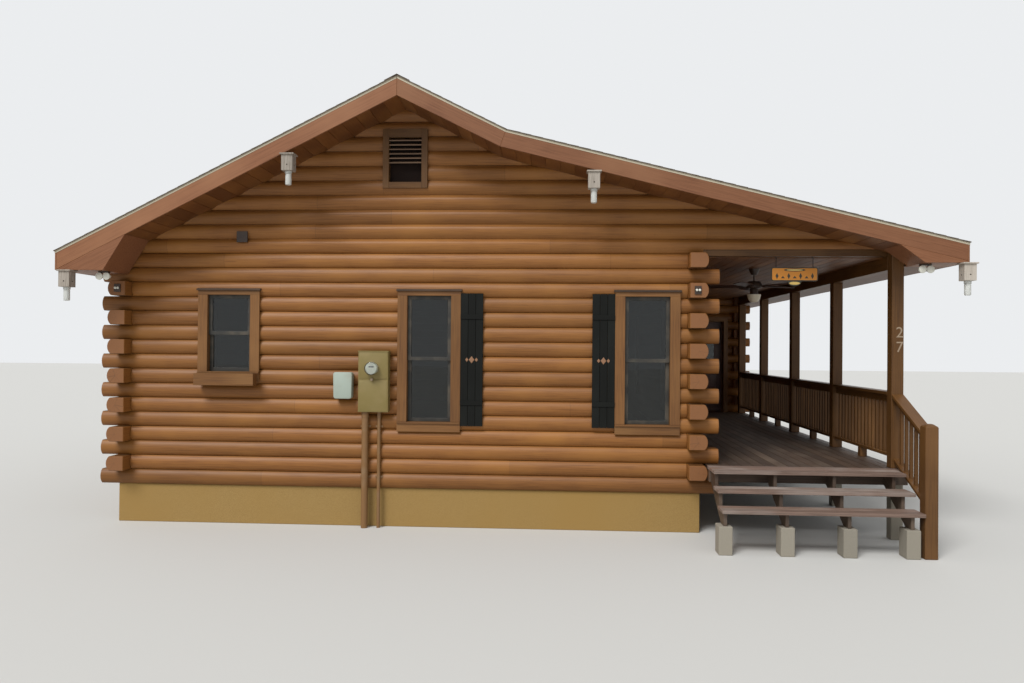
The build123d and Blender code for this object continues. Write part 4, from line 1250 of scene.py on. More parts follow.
@dataclass
class GableVents:
    """Louvred vents in the gables; the front one has lost its lowest slats."""

    cabin: Cabin
    width: float = 0.564
    height: float = 0.739
    border: float = 0.076
    head: float = 0.105
    below_ridge: float = 0.256
    proud: float = 0.025
    depth: float = 0.100
    slats: int = 10
    missing: int = 4
    slat: float = 0.012
    slat_reach: float = 0.055
    slat_tilt: float = math.radians(66)
    edge: float = 0.0015

    def vent(
        self, boards: BMesh, slats: BMesh, screens: BMesh, place: Matrix, missing: int
    ) -> None:
        """Build one vent: four border boards, its slats and a dark sheet behind them, painted shade
        of the space behind the vent.

        Args:
            boards: Mesh that gets the border.
            slats: Mesh that gets the slats.
            screens: Mesh that gets the dark sheet of painted shade.
            place: Matrix with X along the wall, Y up and Z outwards, at the vent's foot.
            missing: Number of lowest slats that are gone.
        """
        side, top, rim, head = self.width / 2, self.height, self.border, self.head
        face = self.proud
        back = face - self.depth
        inner = side - rim
        add_block(boards, (-side, 0, back), (-inner, top, face), place)
        add_block(boards, (inner, 0, back), (side, top, face), place)
        add_block(boards, (-inner, 0, back), (inner, rim, face), place)
        add_block(boards, (-inner, top - head, back), (inner, top, face), place)
        pitch = (top - rim - head) / self.slats
        reach, half = self.slat_reach / 2, self.slat / 2
        for number in range(missing, self.slats):
            spot = Matrix.Translation((0, rim + (number + 0.5) * pitch, face - reach - half))
            turn = place @ spot @ Matrix.Rotation(-self.slat_tilt, 4, "X")
            add_block(slats, (-inner, -reach, -half), (inner, reach, half), turn)
        # Dark sheet behind the slats: painted shade of the space behind the vent
        add_block(screens, (-inner, rim, back - self.slat), (inner, top - head, back), place)

    def build(self) -> None:
        """Deliver both vents and the cover of the small vent."""
        cabin = self.cabin
        boards, slats, screens, cover = bmesh.new(), bmesh.new(), bmesh.new(), bmesh.new()
        foot = cabin.ridge_under - self.below_ridge - self.height - HAIR
        for y, way, missing in ((cabin.front, -1, self.missing), (cabin.back, 1, 0)):
            place = facing((0, y + way * cabin.bow, foot), (0, way, 0))
            self.vent(boards, slats, screens, place, missing)
        for low, high in cabin.spans("gable_vents"):
            if high.x < -self.width:
                add_block(cover, low, high)
        soften(boards, self.edge)
        soften(cover, self.edge)
        cabin.give("vent_slats", slats, "louvre_stain", "trim_wood")
        cabin.give("vent_louvres", boards, "trim_stain", "trim_wood", replaces=["gable_vents"])
        cabin.give("wall_cover", cover, "bronze_enamel", "trim_wood")
        # Dark sheet of painted shade behind the slats
        cabin.give("vent_screens", screens, "dark_painted_shade", "dark_metal")


@dataclass
class Roof:
    """Roof slopes with their shingles, trim and soffit boards."""

    cabin: Cabin
    exposure: float = 0.143
    tab_least: float = 0.22
    tab_most: float = 0.36
    tab_gap: float = 0.004
    tab_depth: float = 0.0045
    tab_lift: float = 0.75
    tab_curl: float = 0.0012
    lap: float = 0.030
    felt: float = 0.003
    soffit_board: float = 0.184
    soffit_depth: float = 0.005
    soffit_gap: float = 0.005
    soffit_longest: float = 1.0
    soffit_edge: float = 0.0015
    ceiling_board: float = 0.137
    ceiling_edge: float = 0.002
    panel_edge: float = 0.001
    trim_edge: float = 0.003
    longest: float = 4.88
    cap_width: float = 0.150
    cap_lift: float = 2.5
    drip: float = 0.0025
    drip_face: float = 0.028
    row_patterns: int = 6
    eave_inset: float = 0.006
    shingle_seed: int = 41
    soffit_seed: int = 7
    ceiling_seed: int = 9

    def tab_row(self, dice: random.Random, run: float) -> bpy.types.Mesh:
        """Make one row of shingle tabs, from its left end at the origin.

        Args:
            dice: Picks the tabs' widths.
            run: Length of the row.

        Returns:
            The row, with X along it, Y up the slope and Z off the roof.
        """
        mesh = bmesh.new()
        start = 0.0
        while start < run - self.tab_gap:
            width = min(dice.uniform(self.tab_least, self.tab_most), run - start)
            if run - start - width < self.tab_least / 2:
                width = run - start
            rise = dice.uniform(0.0, self.tab_curl)
            verts = add_block(
                mesh,
                (start + self.tab_gap / 2, 0, self.felt),
                (start + width - self.tab_gap / 2, self.exposure + self.lap,
                 self.felt + self.tab_depth),
            )
            lift = [vert for vert in verts if vert.co.y < self.exposure / 2]
            bmesh.ops.translate(mesh, vec=(0, 0, self.tab_depth * self.tab_lift + rise), verts=lift)
            start += width
        made = bpy.data.meshes.new("tab_row")
        mesh.to_mesh(made)
        mesh.free()
        return made

    def slope(
        self, mesh: BMesh, rows: list[bpy.types.Mesh], eave: Vector, ridge: Vector,
        run: float, dice: random.Random,
    ) -> None:
        """Cover one slope with felt and rows of tabs.

        Args:
            mesh: Mesh that gets the shingles.
            rows: Row patterns to pick from.
            eave: Front end of the slope's lower edge.
            ridge: Front end of the slope's upper edge.
            run: Length of the roof along the ridge.
            dice: Picks the rows.
        """
        up_slope = (ridge - eave).normalized()
        rightward = eave.x < ridge.x
        along = Vector((0, -1 if rightward else 1, 0))
        start = eave + (Vector((0, run, 0)) if rightward else Vector())
        place = Matrix((along, up_slope, along.cross(up_slope))).transposed().to_4x4()
        place.translation = start
        reach = (ridge - eave).length
        add_block(mesh, (0, 0, 0), (run, reach, self.felt), place)
        for number in range(int(reach / self.exposure)):
            up = min(number * self.exposure, reach - self.exposure - self.lap)
            stamp(mesh, dice.choice(rows), place @ Matrix.Translation((0, up, 0)))

    def ridge_cap(self, mesh: BMesh, top: Vector, run: float) -> None:
        """Lay lapped caps along the ridge.

        Args:
            mesh: Mesh that gets the caps.
            top: Front end of the ridge.
            run: Length of the ridge.
        """
        for number in range(int(run / self.exposure)):
            near = top.y + number * self.exposure
            far = near + self.exposure + self.tab_gap
            for side in (-1, 1):
                verts = add_block(
                    mesh, (0, near, 0), (side * self.cap_width, far, self.tab_depth)
                )
                for vert in verts:
                    vert.co.z += top.z - self.cabin.main_slope * abs(vert.co.x)
                lift = [vert for vert in verts if vert.co.y < near + self.exposure / 2]
                bmesh.ops.translate(mesh, vec=(0, 0, self.tab_depth), verts=lift)
                faces = list({face for vert in verts for face in vert.link_faces})
                bmesh.ops.recalc_face_normals(mesh, faces=faces)

    def shingles(self) -> None:
        """Deliver the shingles of all three slopes and the ridge."""
        cabin = self.cabin
        low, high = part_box("shingles")
        run = high.y - low.y
        dice = random.Random(self.shingle_seed)
        rows = [self.tab_row(dice, run) for _ in range(self.row_patterns)]
        mesh = bmesh.new()
        turn = cabin.break_over()
        left, right = low.x + self.eave_inset, high.x - self.eave_inset
        for eave_x, ridge_x in ((left, 0.0), (turn, 0.0), (right, turn)):
            eave = Vector((eave_x, low.y, cabin.over(eave_x)))
            top = Vector((ridge_x, low.y, cabin.over(ridge_x)))
            self.slope(mesh, rows, eave, top, run, dice)
        top = cabin.over(0) + self.cap_lift * self.tab_depth
        self.ridge_cap(mesh, Vector((0, low.y, top)), run)
        for row in rows:
            bpy.data.meshes.remove(row)
        cabin.give("roof_shingles", mesh, "asphalt_shingle", "shingle", replaces=["shingles"])

    def drip_edges(self) -> None:
        """Deliver the enamelled metal strips along the rakes and eaves."""
        cabin = self.cabin
        mesh = bmesh.new()
        left = -cabin.left_edge - cabin.board
        right = cabin.right_edge + cabin.board
        turn = cabin.break_over()
        near, far = cabin.roof_front - cabin.board, cabin.roof_back + cabin.board
        for face, way in ((near, -1), (far, 1)):
            y = face + way * self.drip / 2
            for start, end in ((left, 0.0), (0.0, turn), (turn, right)):
                first = Vector((start, y, cabin.over(start) - self.drip_face / 2))
                last = Vector((end, y, cabin.over(end) - self.drip_face / 2))
                add_bar(mesh, first, last, self.drip, self.drip_face)
        for x, way in ((left, -1), (right, 1)):
            top = cabin.over(x)
            outer = x + way * self.drip
            add_block(mesh, (min(x, outer), near, top - self.drip_face), (max(x, outer), far, top))
        cabin.give("drip_edges", mesh, "drip_edge_enamel", "pale_plastic")

    def soffits(self) -> None:
        """Deliver the boards under the overhangs, each laid from the rake back to the wall."""
        cabin = self.cabin
        mesh = bmesh.new()
        dice = random.Random(self.soffit_seed)
        turn = cabin.break_under()
        lines = ((-cabin.left_edge, 0.0), (0.0, turn), (turn, cabin.right_edge))
        for start_y, end_y in ((cabin.roof_front, cabin.front), (cabin.back, cabin.roof_back)):
            for first_x, last_x in lines:
                first = Vector((first_x, start_y, cabin.under(first_x) - HAIR))
                last = Vector((last_x, start_y, cabin.under(last_x) - HAIR))
                along = last - first
                low = Vector((0, 0, -self.soffit_depth))
                high = Vector((along.length, end_y - start_y, 0))
                lay_boards(mesh, low, high, Axis.Y, Axis.X, self.soffit_board,
                           self.soffit_gap, self.soffit_longest, dice, aim(first, along))
        soften(mesh, self.soffit_edge)
        cabin.give("soffit_boards", mesh, "soffit_stain", "soffit_wood")

    def ceilings(self) -> None:
        """Deliver the porch ceiling's boards, and the flat soffits under the eaves."""
        cabin = self.cabin
        eaves = cabin.copy("ceiling_panels")
        old = take(eaves, lambda low, high: low.z > cabin.ceiling - MERGE)
        low, high = span(list(old.verts))
        old.free()
        soften(eaves, self.panel_edge)
        cabin.give("eave_soffits", eaves, "soffit_stain", "soffit_wood")
        mesh = bmesh.new()
        dice = random.Random(self.ceiling_seed)
        for first, last in (
            (low, Vector((cabin.notch_x, high.y, high.z))),
            (Vector((cabin.notch_x, low.y, low.z)), Vector((high.x, cabin.notch_y, high.z))),
        ):
            lay_boards(mesh, first, last, Axis.Y, Axis.X, self.ceiling_board, self.soffit_gap,
                       self.longest, dice)
        soften(mesh, self.ceiling_edge)
        cabin.give("porch_ceiling", mesh, "soffit_stain", "soffit_wood",
                   replaces=["ceiling_panels"])

    def build(self) -> None:
        """Deliver the whole roof."""
        cabin = self.cabin
        cabin.softened("roof_panels", "roof_slopes", "soffit_stain", "soffit_wood",
                       self.panel_edge)
        cabin.softened("roof_boards", "roof_trim", "rake_stain", "trim_wood", self.trim_edge)
        self.ceilings()
        self.shingles()
        self.drip_edges()
        self.soffits()


@dataclass
class Porch:
    """Porch posts, beams, deck, stair and railings."""

    cabin: Cabin
    edge: float = 0.003
    post_edge: float = 0.006
    deck_board: float = 0.140
    deck_gap: float = 0.006
    longest: float = 4.88
    rail: float = 0.038
    rail_depth: float = 0.089
    foot: float = 0.125
    baluster_gap: float = 0.128
    block: float = 0.090
    digit_size: float = 0.180
    digit_depth: float = 0.002
    digit_inset: float = 0.050
    digits: tuple[tuple[str, float], ...] = (("2", 1.565), ("7", 1.390))
    filler_height: float = 0.056
    filler_depth: float = 0.060
    header_proud: float = 0.020
    railings: int = 4
    deck_seed: int = 3
    tread_seed: int = 5

    def deck(self) -> None:
        """Deliver the deck's boards behind one nosing board across the front."""
        cabin = self.cabin
        low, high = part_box("deck")
        dice = random.Random(self.deck_seed)
        mesh = bmesh.new()
        nose = low.y + self.deck_board
        lay_boards(mesh, low, Vector((high.x, nose, high.z)), Axis.X, Axis.Y, self.deck_board,
                   self.deck_gap, self.longest, dice)
        soften(mesh, self.edge)
        cabin.give("deck_nosing", mesh, "tread_stain", "deck_wood")
        mesh = bmesh.new()
        for first, last in (
            (Vector((low.x, nose, low.z)), Vector((cabin.notch_x, high.y, high.z))),
            (Vector((cabin.notch_x, nose, low.z)), Vector((high.x, cabin.notch_y, high.z))),
        ):
            lay_boards(mesh, first, last, Axis.Y, Axis.X, self.deck_board, self.deck_gap,
                       self.longest, dice)
        soften(mesh, self.edge)
        cabin.give("deck_boards", mesh, "deck_stain", "deck_wood", replaces=["deck"])

    def treads(self) -> None:
        """Deliver the stair's treads, two boards each."""
        mesh = bmesh.new()
        dice = random.Random(self.tread_seed)
        for low, high in self.cabin.spans("stair_treads"):
            lay_boards(mesh, low, high, Axis.X, Axis.Y, (high.y - low.y) / 2, self.deck_gap,
                       self.longest, dice)
        soften(mesh, self.edge)
        self.cabin.give("tread_boards", mesh, "tread_stain", "deck_wood",
                        replaces=["stair_treads"])

    def railing(self, node: str) -> None:
        """Deliver one railing panel: cap, rails, balusters and the block under its middle.

        Args:
            node: Node of the panel.
        """
        low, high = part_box(node)
        mesh = bmesh.new()
        middle = (low.x + high.x) / 2
        half, deep = self.rail / 2, self.rail_depth / 2
        cap = high.z - self.rail
        foot = low.z + self.foot
        add_block(mesh, (low.x, low.y, cap), high)
        add_block(mesh, (middle - half, low.y, cap - self.rail_depth), (middle + half, high.y, cap))
        add_block(mesh, (middle - deep, low.y, foot), (middle + deep, high.y, foot + self.rail))
        centre = (low.y + high.y) / 2
        add_block(mesh, (middle - deep, centre - self.block / 2, low.z),
                  (middle + deep, centre + self.block / 2, foot))
        count = int((high.y - low.y) / self.baluster_gap)
        for number in range(count):
            y = low.y + (number + 1) * (high.y - low.y) / (count + 1)
            add_block(mesh, (middle - half, y - half, foot + self.rail),
                      (middle + half, y + half, cap - self.rail_depth))
        soften(mesh, self.edge)
        self.cabin.give(f"{node}_boards", mesh, "trim_stain", "trim_wood", replaces=[node],
                        ends="timber_end_grain")

    def house_number(self) -> None:
        """Deliver plain digits on the corner post."""
        cabin = self.cabin
        mesh = bmesh.new()
        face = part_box("porch_railing_1")[0].y - cabin.post
        for digit, height in self.digits:
            curve = bpy.data.curves.new("digit", "FONT")
            curve.body = digit
            curve.size = self.digit_size
            curve.extrude = self.digit_depth
            curve.align_x = "CENTER"
            text = bpy.data.objects.new("digit", curve)
            flat = bpy.data.meshes.new_from_object(text)
            bpy.data.objects.remove(text)
            bpy.data.curves.remove(curve)
            origin = (cabin.right - self.digit_inset, face, cabin.deck_top + height)
            flat.transform(facing(origin, (0, -1, 0)))
            mesh.from_mesh(flat)
            bpy.data.meshes.remove(flat)
        bmesh.ops.remove_doubles(mesh, verts=mesh.verts, dist=MERGE / 2)
        cabin.give("house_number", mesh, "digit_steel", "pale_plastic")

    def filler(self) -> None:
        """Close the gap over the top log's end, between the siding and the header."""
        cabin = self.cabin
        mesh = bmesh.new()
        near = cabin.front - self.header_proud
        add_block(mesh, (cabin.half, near, cabin.log_top),
                  (cabin.half + cabin.bow, near + self.filler_depth,
                   cabin.log_top + self.filler_height))
        cabin.give("corner_filler", mesh, "trim_stain", "trim_wood")

    def build(self) -> None:
        """Deliver the whole porch."""
        cabin = self.cabin
        ends = "timber_end_grain"
        for number in range(self.railings):
            self.railing(f"porch_railing_{number + 1}")
        cabin.softened("stair_railing", "stair_rail", "trim_stain", "trim_wood", self.edge)
        cabin.softened("post_timbers", "porch_posts", "trim_stain", "trim_wood", self.post_edge,
                       ends=ends)
        cabin.softened("beam_timbers", "porch_beams", "trim_stain", "trim_wood", self.edge)
        cabin.softened("deck_joists", "deck_frame", "deck_stain", "deck_wood", self.edge, ends=ends)
        cabin.softened("stringers", "stair_stringers", "deck_stain", "deck_wood", self.edge)
        self.deck()
        self.treads()
        self.house_number()
        self.filler()


@dataclass
class Opening:
    """One window's opening: where its wall's face is, the way it faces and its sill's height."""

    x: float
    y: float
    outward: tuple[float, float]
    sill: float

    def place(self, base: float) -> Matrix:
        """Return the opening's matrix, with Y from the deck's height upwards."""
        return facing((self.x, self.y, base), (*self.outward, 0))


@dataclass
class Windows:
    """Window casings, sashes and panes."""

    cabin: Cabin
    width: float = 0.600
    head: float = 2.070
    tall: float = 0.445
    short: float = 1.050
    jamb: float = 0.025
    side: float = 0.122
    crown: float = 0.030
    foot: float = 0.098
    casing: float = 0.025
    cap: float = 0.030
    cap_side: float = 0.015
    cap_reach: float = 0.045
    cap_fall: float = 0.010
    nose: float = 0.022
    nose_reach: float = 0.042
    edge: float = 0.002
    pane_edge: float = 0.0001

    def openings(self) -> list[Opening]:
        """List every window's opening.

        Returns:
            The openings, wall by wall.
        """
        cabin, tall, short = self.cabin, self.tall, self.short
        front = ((-2.235, short), (0.319, tall), (3.024, tall))
        back = ((-2.300, tall), (1.200, short), (4.300, tall))
        left = ((2.300, tall), (5.500, short), (8.700, tall))
        porch = ((2.300, tall), (6.300, tall))
        rear = ((9.750, short),)
        walls = [Opening(x, cabin.front, (0, -1), sill) for x, sill in front]
        walls += [Opening(x, cabin.back, (0, 1), sill) for x, sill in back]
        walls += [Opening(-cabin.half, cabin.front + y, (-1, 0), sill) for y, sill in left]
        walls += [Opening(cabin.half, cabin.front + y, (1, 0), sill) for y, sill in porch]
        walls += [Opening(cabin.rear_wall, cabin.front + y, (1, 0), sill) for y, sill in rear]
        return walls

    def casings(self, boards: BMesh, caps: BMesh, opening: Opening) -> None:
        """Case one opening: side, head and foot boards, a sill nose, jambs and a cap.

        Args:
            boards: Mesh that gets the boards.
            caps: Mesh that gets the cap.
            opening: The opening.
        """
        place = opening.place(self.cabin.deck_top)
        face = self.cabin.bow + HAIR
        inside = -self.cabin.thickness
        clear = self.width / 2 - self.jamb
        lining = self.width / 2 - HAIR
        outer = clear + self.side
        foot, low = opening.sill - self.foot, opening.sill + self.jamb
        high, top = self.head - self.jamb, self.head + self.crown
        front, shelf = face + self.casing, low - self.nose
        for sign in (-1, 1):
            near, far = sorted((sign * clear, sign * outer))
            add_block(boards, (near, low, face), (far, high, front), place)
            near, far = sorted((sign * clear, sign * lining))
            add_block(boards, (near, low, inside), (far, high, face), place)
        add_block(boards, (-outer, foot, face), (outer, shelf, front), place)
        add_block(boards, (-outer, shelf, face), (outer, low, face + self.nose_reach), place)
        add_block(boards, (-outer, high, face), (outer, top, front), place)
        for first, last in ((opening.sill + HAIR, low), (high, self.head - HAIR)):
            add_block(boards, (-lining, first, inside), (lining, last, face), place)
        reach = outer + self.cap_side
        part = bmesh.new()
        verts = add_block(part, (-reach, top, face), (reach, top + self.cap, face + self.cap_reach))
        for vert in verts:
            if vert.co.y > top + MERGE and vert.co.z > face + MERGE:
                vert.co.y -= self.cap_fall
        join(caps, part, place)

    def build(self) -> None:
        """Deliver every window's pieces."""
        boards, caps = bmesh.new(), bmesh.new()
        for opening in self.openings():
            self.casings(boards, caps, opening)
        soften(boards, self.edge)
        soften(caps, self.edge)
        cabin = self.cabin
        cabin.give("casing_boards", boards, "casing_stain", "casing_wood",
                   replaces=["window_casings"])
        cabin.give("window_caps", caps, "weathered_cap", "casing_wood")
        cabin.softened("sash_frames", "window_sashes", "sash_vinyl", "sash_plastic", self.edge)
        cabin.softened("window_panes", "window_glass", "window_glass", "glass", self.pane_edge)


@dataclass
class Shutters:
    """Two board shutters with a small painted motif each, and the window box."""

    cabin: Cabin
    edge: float = 0.002
    depth: float = 0.025
    board: float = 0.093
    gap: float = 0.003
    batten_inset: float = 0.260
    batten: float = 0.060
    motif_width: float = 0.070
    motif_height: float = 0.090
    motif_depth: float = 0.004
    motif_top: float = 0.4
    motif_pitch: float = 0.85
    motif_row: tuple[tuple[int, float], ...] = ((-1, 0.6), (0, 1.0), (1, 0.6))
    longest: float = 3.0
    seed: int = 2

    def lozenge(self, mesh: BMesh, place: Matrix, across: float, share: float) -> None:
        """Add one lozenge of the motif.

        Args:
            mesh: Mesh that gets the lozenge.
            place: Matrix of the shutter's face, at its middle.
            across: Distance of the lozenge from the middle.
            share: Its share of the full size.
        """
        verts = bmesh.ops.create_cone(
            mesh, cap_ends=True, segments=4, radius1=0.5, radius2=self.motif_top, depth=1.0,
            matrix=Matrix.Translation((0, 0, 0.5)),
        )["verts"]
        size = Vector((self.motif_width * share, self.motif_height * share, self.motif_depth))
        bmesh.ops.scale(mesh, vec=size, verts=verts)
        bmesh.ops.translate(mesh, vec=(across, 0, 0), verts=verts)
        bmesh.ops.transform(mesh, matrix=place, verts=verts)

    def build(self) -> None:
        """Deliver the shutters, their motifs and the window box."""
        cabin = self.cabin
        boards, motifs = bmesh.new(), bmesh.new()
        dice = random.Random(self.seed)
        for low, high in cabin.spans("shutters"):
            face = high.y - self.depth
            first = Vector((low.x, face, low.z))
            lay_boards(boards, first, high, Axis.Z, Axis.X, self.board, self.gap, self.longest,
                       dice)
            for foot in (low.z + self.batten_inset, high.z - self.batten_inset - self.batten):
                add_block(boards, (low.x, low.y, foot), (high.x, face, foot + self.batten))
            place = facing(((low.x + high.x) / 2, face, (low.z + high.z) / 2), (0, -1, 0))
            for number, share in self.motif_row:
                across = number * self.motif_width * self.motif_pitch
                self.lozenge(motifs, place, across, share)
        soften(boards, self.edge)
        cabin.give("shutter_boards", boards, "shutter_paint", "shutter_wood",
                   replaces=["shutters"])
        cabin.give("shutter_motifs", motifs, "motif_paint", "shutter_wood")
        cabin.softened("flower_box", "window_box", "casing_stain", "casing_wood", self.edge)


@dataclass
class EntryDoor:
    """Entry door with its frame, glass and hardware."""

    cabin: Cabin
    panel_low: float = 0.170
    panel_high: float = 0.820
    panel_gap: float = 0.100
    stile: float = 0.130
    panel_depth: float = 0.007
    panel_slope: float = 0.006
    bead: float = 0.022
    edge: float = 0.002
    hinge_edge: float = 0.0003
    lever_edge: float = 0.0008
    pane_edge: float = 0.0001

    def face(self, mesh: BMesh, place: Matrix, low: Vector, high: Vector) -> None:
        """Dress one face of the leaf with two raised panels and beads round the glass.

        Args:
            mesh: Mesh that gets the pieces.
            place: Matrix of the leaf's face, at the middle of its foot.
            low: Lowest corner of the glass, from that place.
            high: Highest corner of the glass, from that place.
        """
        leaf_low, leaf_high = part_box("entry_door")
        half = (leaf_high.x - leaf_low.x) / 2 - self.stile
        deep, bead = self.panel_depth, self.bead
        for sign in (-1, 1):
            near, far = sorted((sign * self.panel_gap / 2, sign * half))
            add_panel(mesh, (near, self.panel_low, 0), (far, self.panel_high, deep), place, 0,
                      self.panel_slope)
        add_block(mesh, (low.x - bead, low.z - bead, 0), (high.x + bead, low.z, deep), place)
        add_block(mesh, (low.x - bead, high.z, 0), (high.x + bead, high.z + bead, deep), place)
        add_block(mesh, (low.x - bead, low.z, 0), (low.x, high.z, deep), place)
        add_block(mesh, (high.x, low.z, 0), (high.x + bead, high.z, deep), place)

    def build(self) -> None:
        """Deliver the door's pieces."""
        cabin = self.cabin
        cabin.softened("door_casing", "door_frame", "casing_stain", "casing_wood", self.edge)
        cabin.softened("hinge_knuckles", "hinge_pins", "bronze_enamel", "dark_metal",
                       self.hinge_edge)
        cabin.softened("door_lever", "door_hardware", "bronze_enamel", "dark_metal",
                       self.lever_edge, "door")
        cabin.softened("door_pane", "door_glass", "window_glass", "glass", self.pane_edge,
                       "door")
        leaf_low, leaf_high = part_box("entry_door")
        glass_low, glass_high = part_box("door_glass")
        mesh = cabin.copy("entry_door")
        soften(mesh, self.edge)
        foot = Vector(((leaf_low.x + leaf_high.x) / 2, 0, leaf_low.z))
        for y, way in ((leaf_low.y, -1), (leaf_high.y, 1)):
            place = facing((foot.x, y, foot.z), (0, way, 0))
            self.face(mesh, place, glass_low - foot, glass_high - foot)
        cabin.give("door_leaf", mesh, "door_enamel", "door_paint", "door", ["entry_door"])


@dataclass
class Services:
    """Electric meter, cable box and conduits on the front wall."""

    cabin: Cabin
    edge: float = 0.003
    lip: float = 0.008
    lip_depth: float = 0.012
    cover_edge: float = 0.012
    cover_depth: float = 0.003
    cover_corner: float = 0.004
    cover_bevel: float = 0.0015
    strap_heights: tuple[float, ...] = (0.62, 1.25)
    strap: float = 0.024
    strap_depth: float = 0.003
    strap_wall: float = 0.0015
    coupling: float = 0.07
    coupling_wall: float = 0.004
    round_sides: int = 32
    ring: float = 0.010
    ring_edge: float = 0.004
    ring_bevel: float = 0.002
    register_radius: float = 0.074
    register_depth: float = 0.062
    register_edge: float = 0.004
    display: tuple[float, float] = (0.064, 0.014)
    display_rise: float = 0.012
    dome_edge: float = 0.010
    dome_wall: float = 0.003
    seal_radius: float = 0.016
    seal_drop: float = 0.046
    seal_depth: float = 0.034
    seal_sides: int = 24
    box_base: float = 0.3
    box_inset: float = 0.003
    box_corner: float = 0.030
    box_edge: float = 0.012
    box_taper: float = 0.06

    def cabinet(self) -> None:
        """Deliver the cabinet with its rain lip and covers, and its conduits."""
        cabin = self.cabin
        boxes = cabin.copy("meter_cabinet")
        pipes = take(boxes, lambda low, high: low.z < cabin.log_base)
        sizes = [span(solid) for solid in solids(boxes)]
        soften(boxes, self.edge)
        edge = self.cover_edge
        for low, high in sizes:
            place = facing((0, low.y, 0), (0, -1, 0))
            add_panel(boxes, (low.x + edge, low.z + edge, 0),
                      (high.x - edge, high.z - edge, self.cover_depth), place,
                      self.cover_corner, self.cover_bevel)
        low, high = max(sizes, key=lambda size: size[1].z)
        add_block(boxes, (low.x - self.lip / 2, low.y - self.lip, high.z - self.lip_depth),
                  (high.x + self.lip / 2, high.y, high.z))
        cabin.give("meter_box", boxes, "cabinet_enamel", "cabinet_metal",
                   replaces=["meter_cabinet"])
        straps = bmesh.new()
        for solid in solids(pipes):
            low, high = span(solid)
            self.pipe_fittings(pipes, straps, low, high)
        cabin.give("conduits", pipes, "conduit_paint", "cabinet_metal")
        cabin.give("conduit_straps", straps, "conduit_paint", "dark_metal")

    def pipe_fittings(self, pipes: BMesh, straps: BMesh, low: Vector, high: Vector) -> None:
        """Add one pipe's straps, and the coupling at its top.

        Args:
            pipes: Mesh that gets the coupling.
            straps: Mesh that gets the straps.
            low: Lowest corner of the pipe.
            high: Highest corner of the pipe.
        """
        radius, middle = (high.x - low.x) / 2, (low.x + high.x) / 2
        reach, y = radius + self.strap, high.y - radius
        for height in self.strap_heights:
            top = height + self.strap
            add_block(straps, (middle - reach, high.y - self.strap_depth, height),
                      (middle + reach, high.y - HAIR, top))
            add_rod(straps, (middle, y, height), (middle, y, top), radius + self.strap_wall,
                    self.round_sides)
        add_rod(pipes, (middle, y, high.z - self.coupling), (middle, y, high.z - HAIR),
                radius + self.coupling_wall, self.round_sides)

    def meter(self) -> None:
        """Deliver the meter: rim, seal, pale register with its display, and the glass dome."""
        cabin = self.cabin
        low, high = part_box("meter_glass")
        middle = (low + high) / 2
        radius, depth = (high.x - low.x) / 2, high.y - low.y
        place = facing((middle.x, high.y, middle.z), (0, -1, 0))
        ring, outer = self.ring, radius - self.ring
        rim, body, dome, face = bmesh.new(), bmesh.new(), bmesh.new(), bmesh.new()
        knob = bmesh.new()
        add_turned(rim, (
            (0.0, 0.0), (radius, 0.0), (radius, ring - self.ring_bevel),
            (radius - self.ring_edge, ring), (outer, ring), (0.0, ring - MILLIMETRE),
        ), place)
        drum, deep, edge = self.register_radius, self.register_depth, self.register_edge
        add_turned(body, (
            (0.0, ring), (drum, ring), (drum, deep - edge), (drum - edge, deep), (0.0, deep),
        ), place)
        wide, tall = self.display
        rise = self.display_rise
        add_block(face, (-wide / 2, rise, deep - MILLIMETRE),
                  (wide / 2, rise + tall, deep + MILLIMETRE), place)
        edge, wall = self.dome_edge, self.dome_wall
        shell = ((outer, ring), (outer, depth - 1.5 * edge), (outer - edge / 2, depth - edge / 2),
                 (outer - 1.5 * edge, depth - MILLIMETRE), (0.0, depth))
        inner = [(max(r - wall, 0.0), height - wall) for r, height in reversed(shell[1:])]
        add_turned(dome, (*shell, *inner, (outer - wall, ring), (outer, ring)), place)
        seal = low.z - self.seal_drop
        add_rod(knob, (middle.x, high.y, seal), (middle.x, high.y - self.seal_depth, seal),
                self.seal_radius, self.seal_sides)
        cabin.give("meter_seal", knob, "digit_steel", "cabinet_metal")
        cabin.give("meter_rim", rim, "cabinet_enamel", "cabinet_metal")
        cabin.give("meter_register", body, "meter_plastic", "pale_plastic")
        cabin.give("meter_display", face, "display_plastic", "dark_metal")
        cabin.give("meter_dome", dome, "dome_glass", "glass", replaces=["meter_glass"])

    def cable_box(self) -> None:
        """Deliver the cable box: a base, and a cover with round corners that narrows downwards."""
        cabin = self.cabin
        mesh = bmesh.new()
        low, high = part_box("cable_box")
        middle, half, tall, deep = (low.x + high.x) / 2, *((high - low) / 2).xz, high.y - low.y
        place = facing((middle, high.y, (low.z + high.z) / 2), (0, -1, 0))
        seam, inset = deep * self.box_base, self.box_inset
        add_panel(mesh, (inset - half, inset - tall, 0), (half - inset, tall - inset, seam), place,
                  self.box_corner, inset)
        add_panel(mesh, (-half, -tall, seam), (half, tall, deep), place, self.box_corner,
                  self.box_edge)
        for vert in mesh.verts:
            share = (high.z - vert.co.z) / (high.z - low.z)
            vert.co.x = middle + (vert.co.x - middle) * (1 - self.box_taper * share)
        cabin.give("cable_box_shell", mesh, "grey_plastic", "pale_plastic",
                   replaces=["cable_box"])

    def build(self) -> None:
        """Deliver what hangs on the front wall."""
        self.cabinet()
        self.meter()
        self.cable_box()


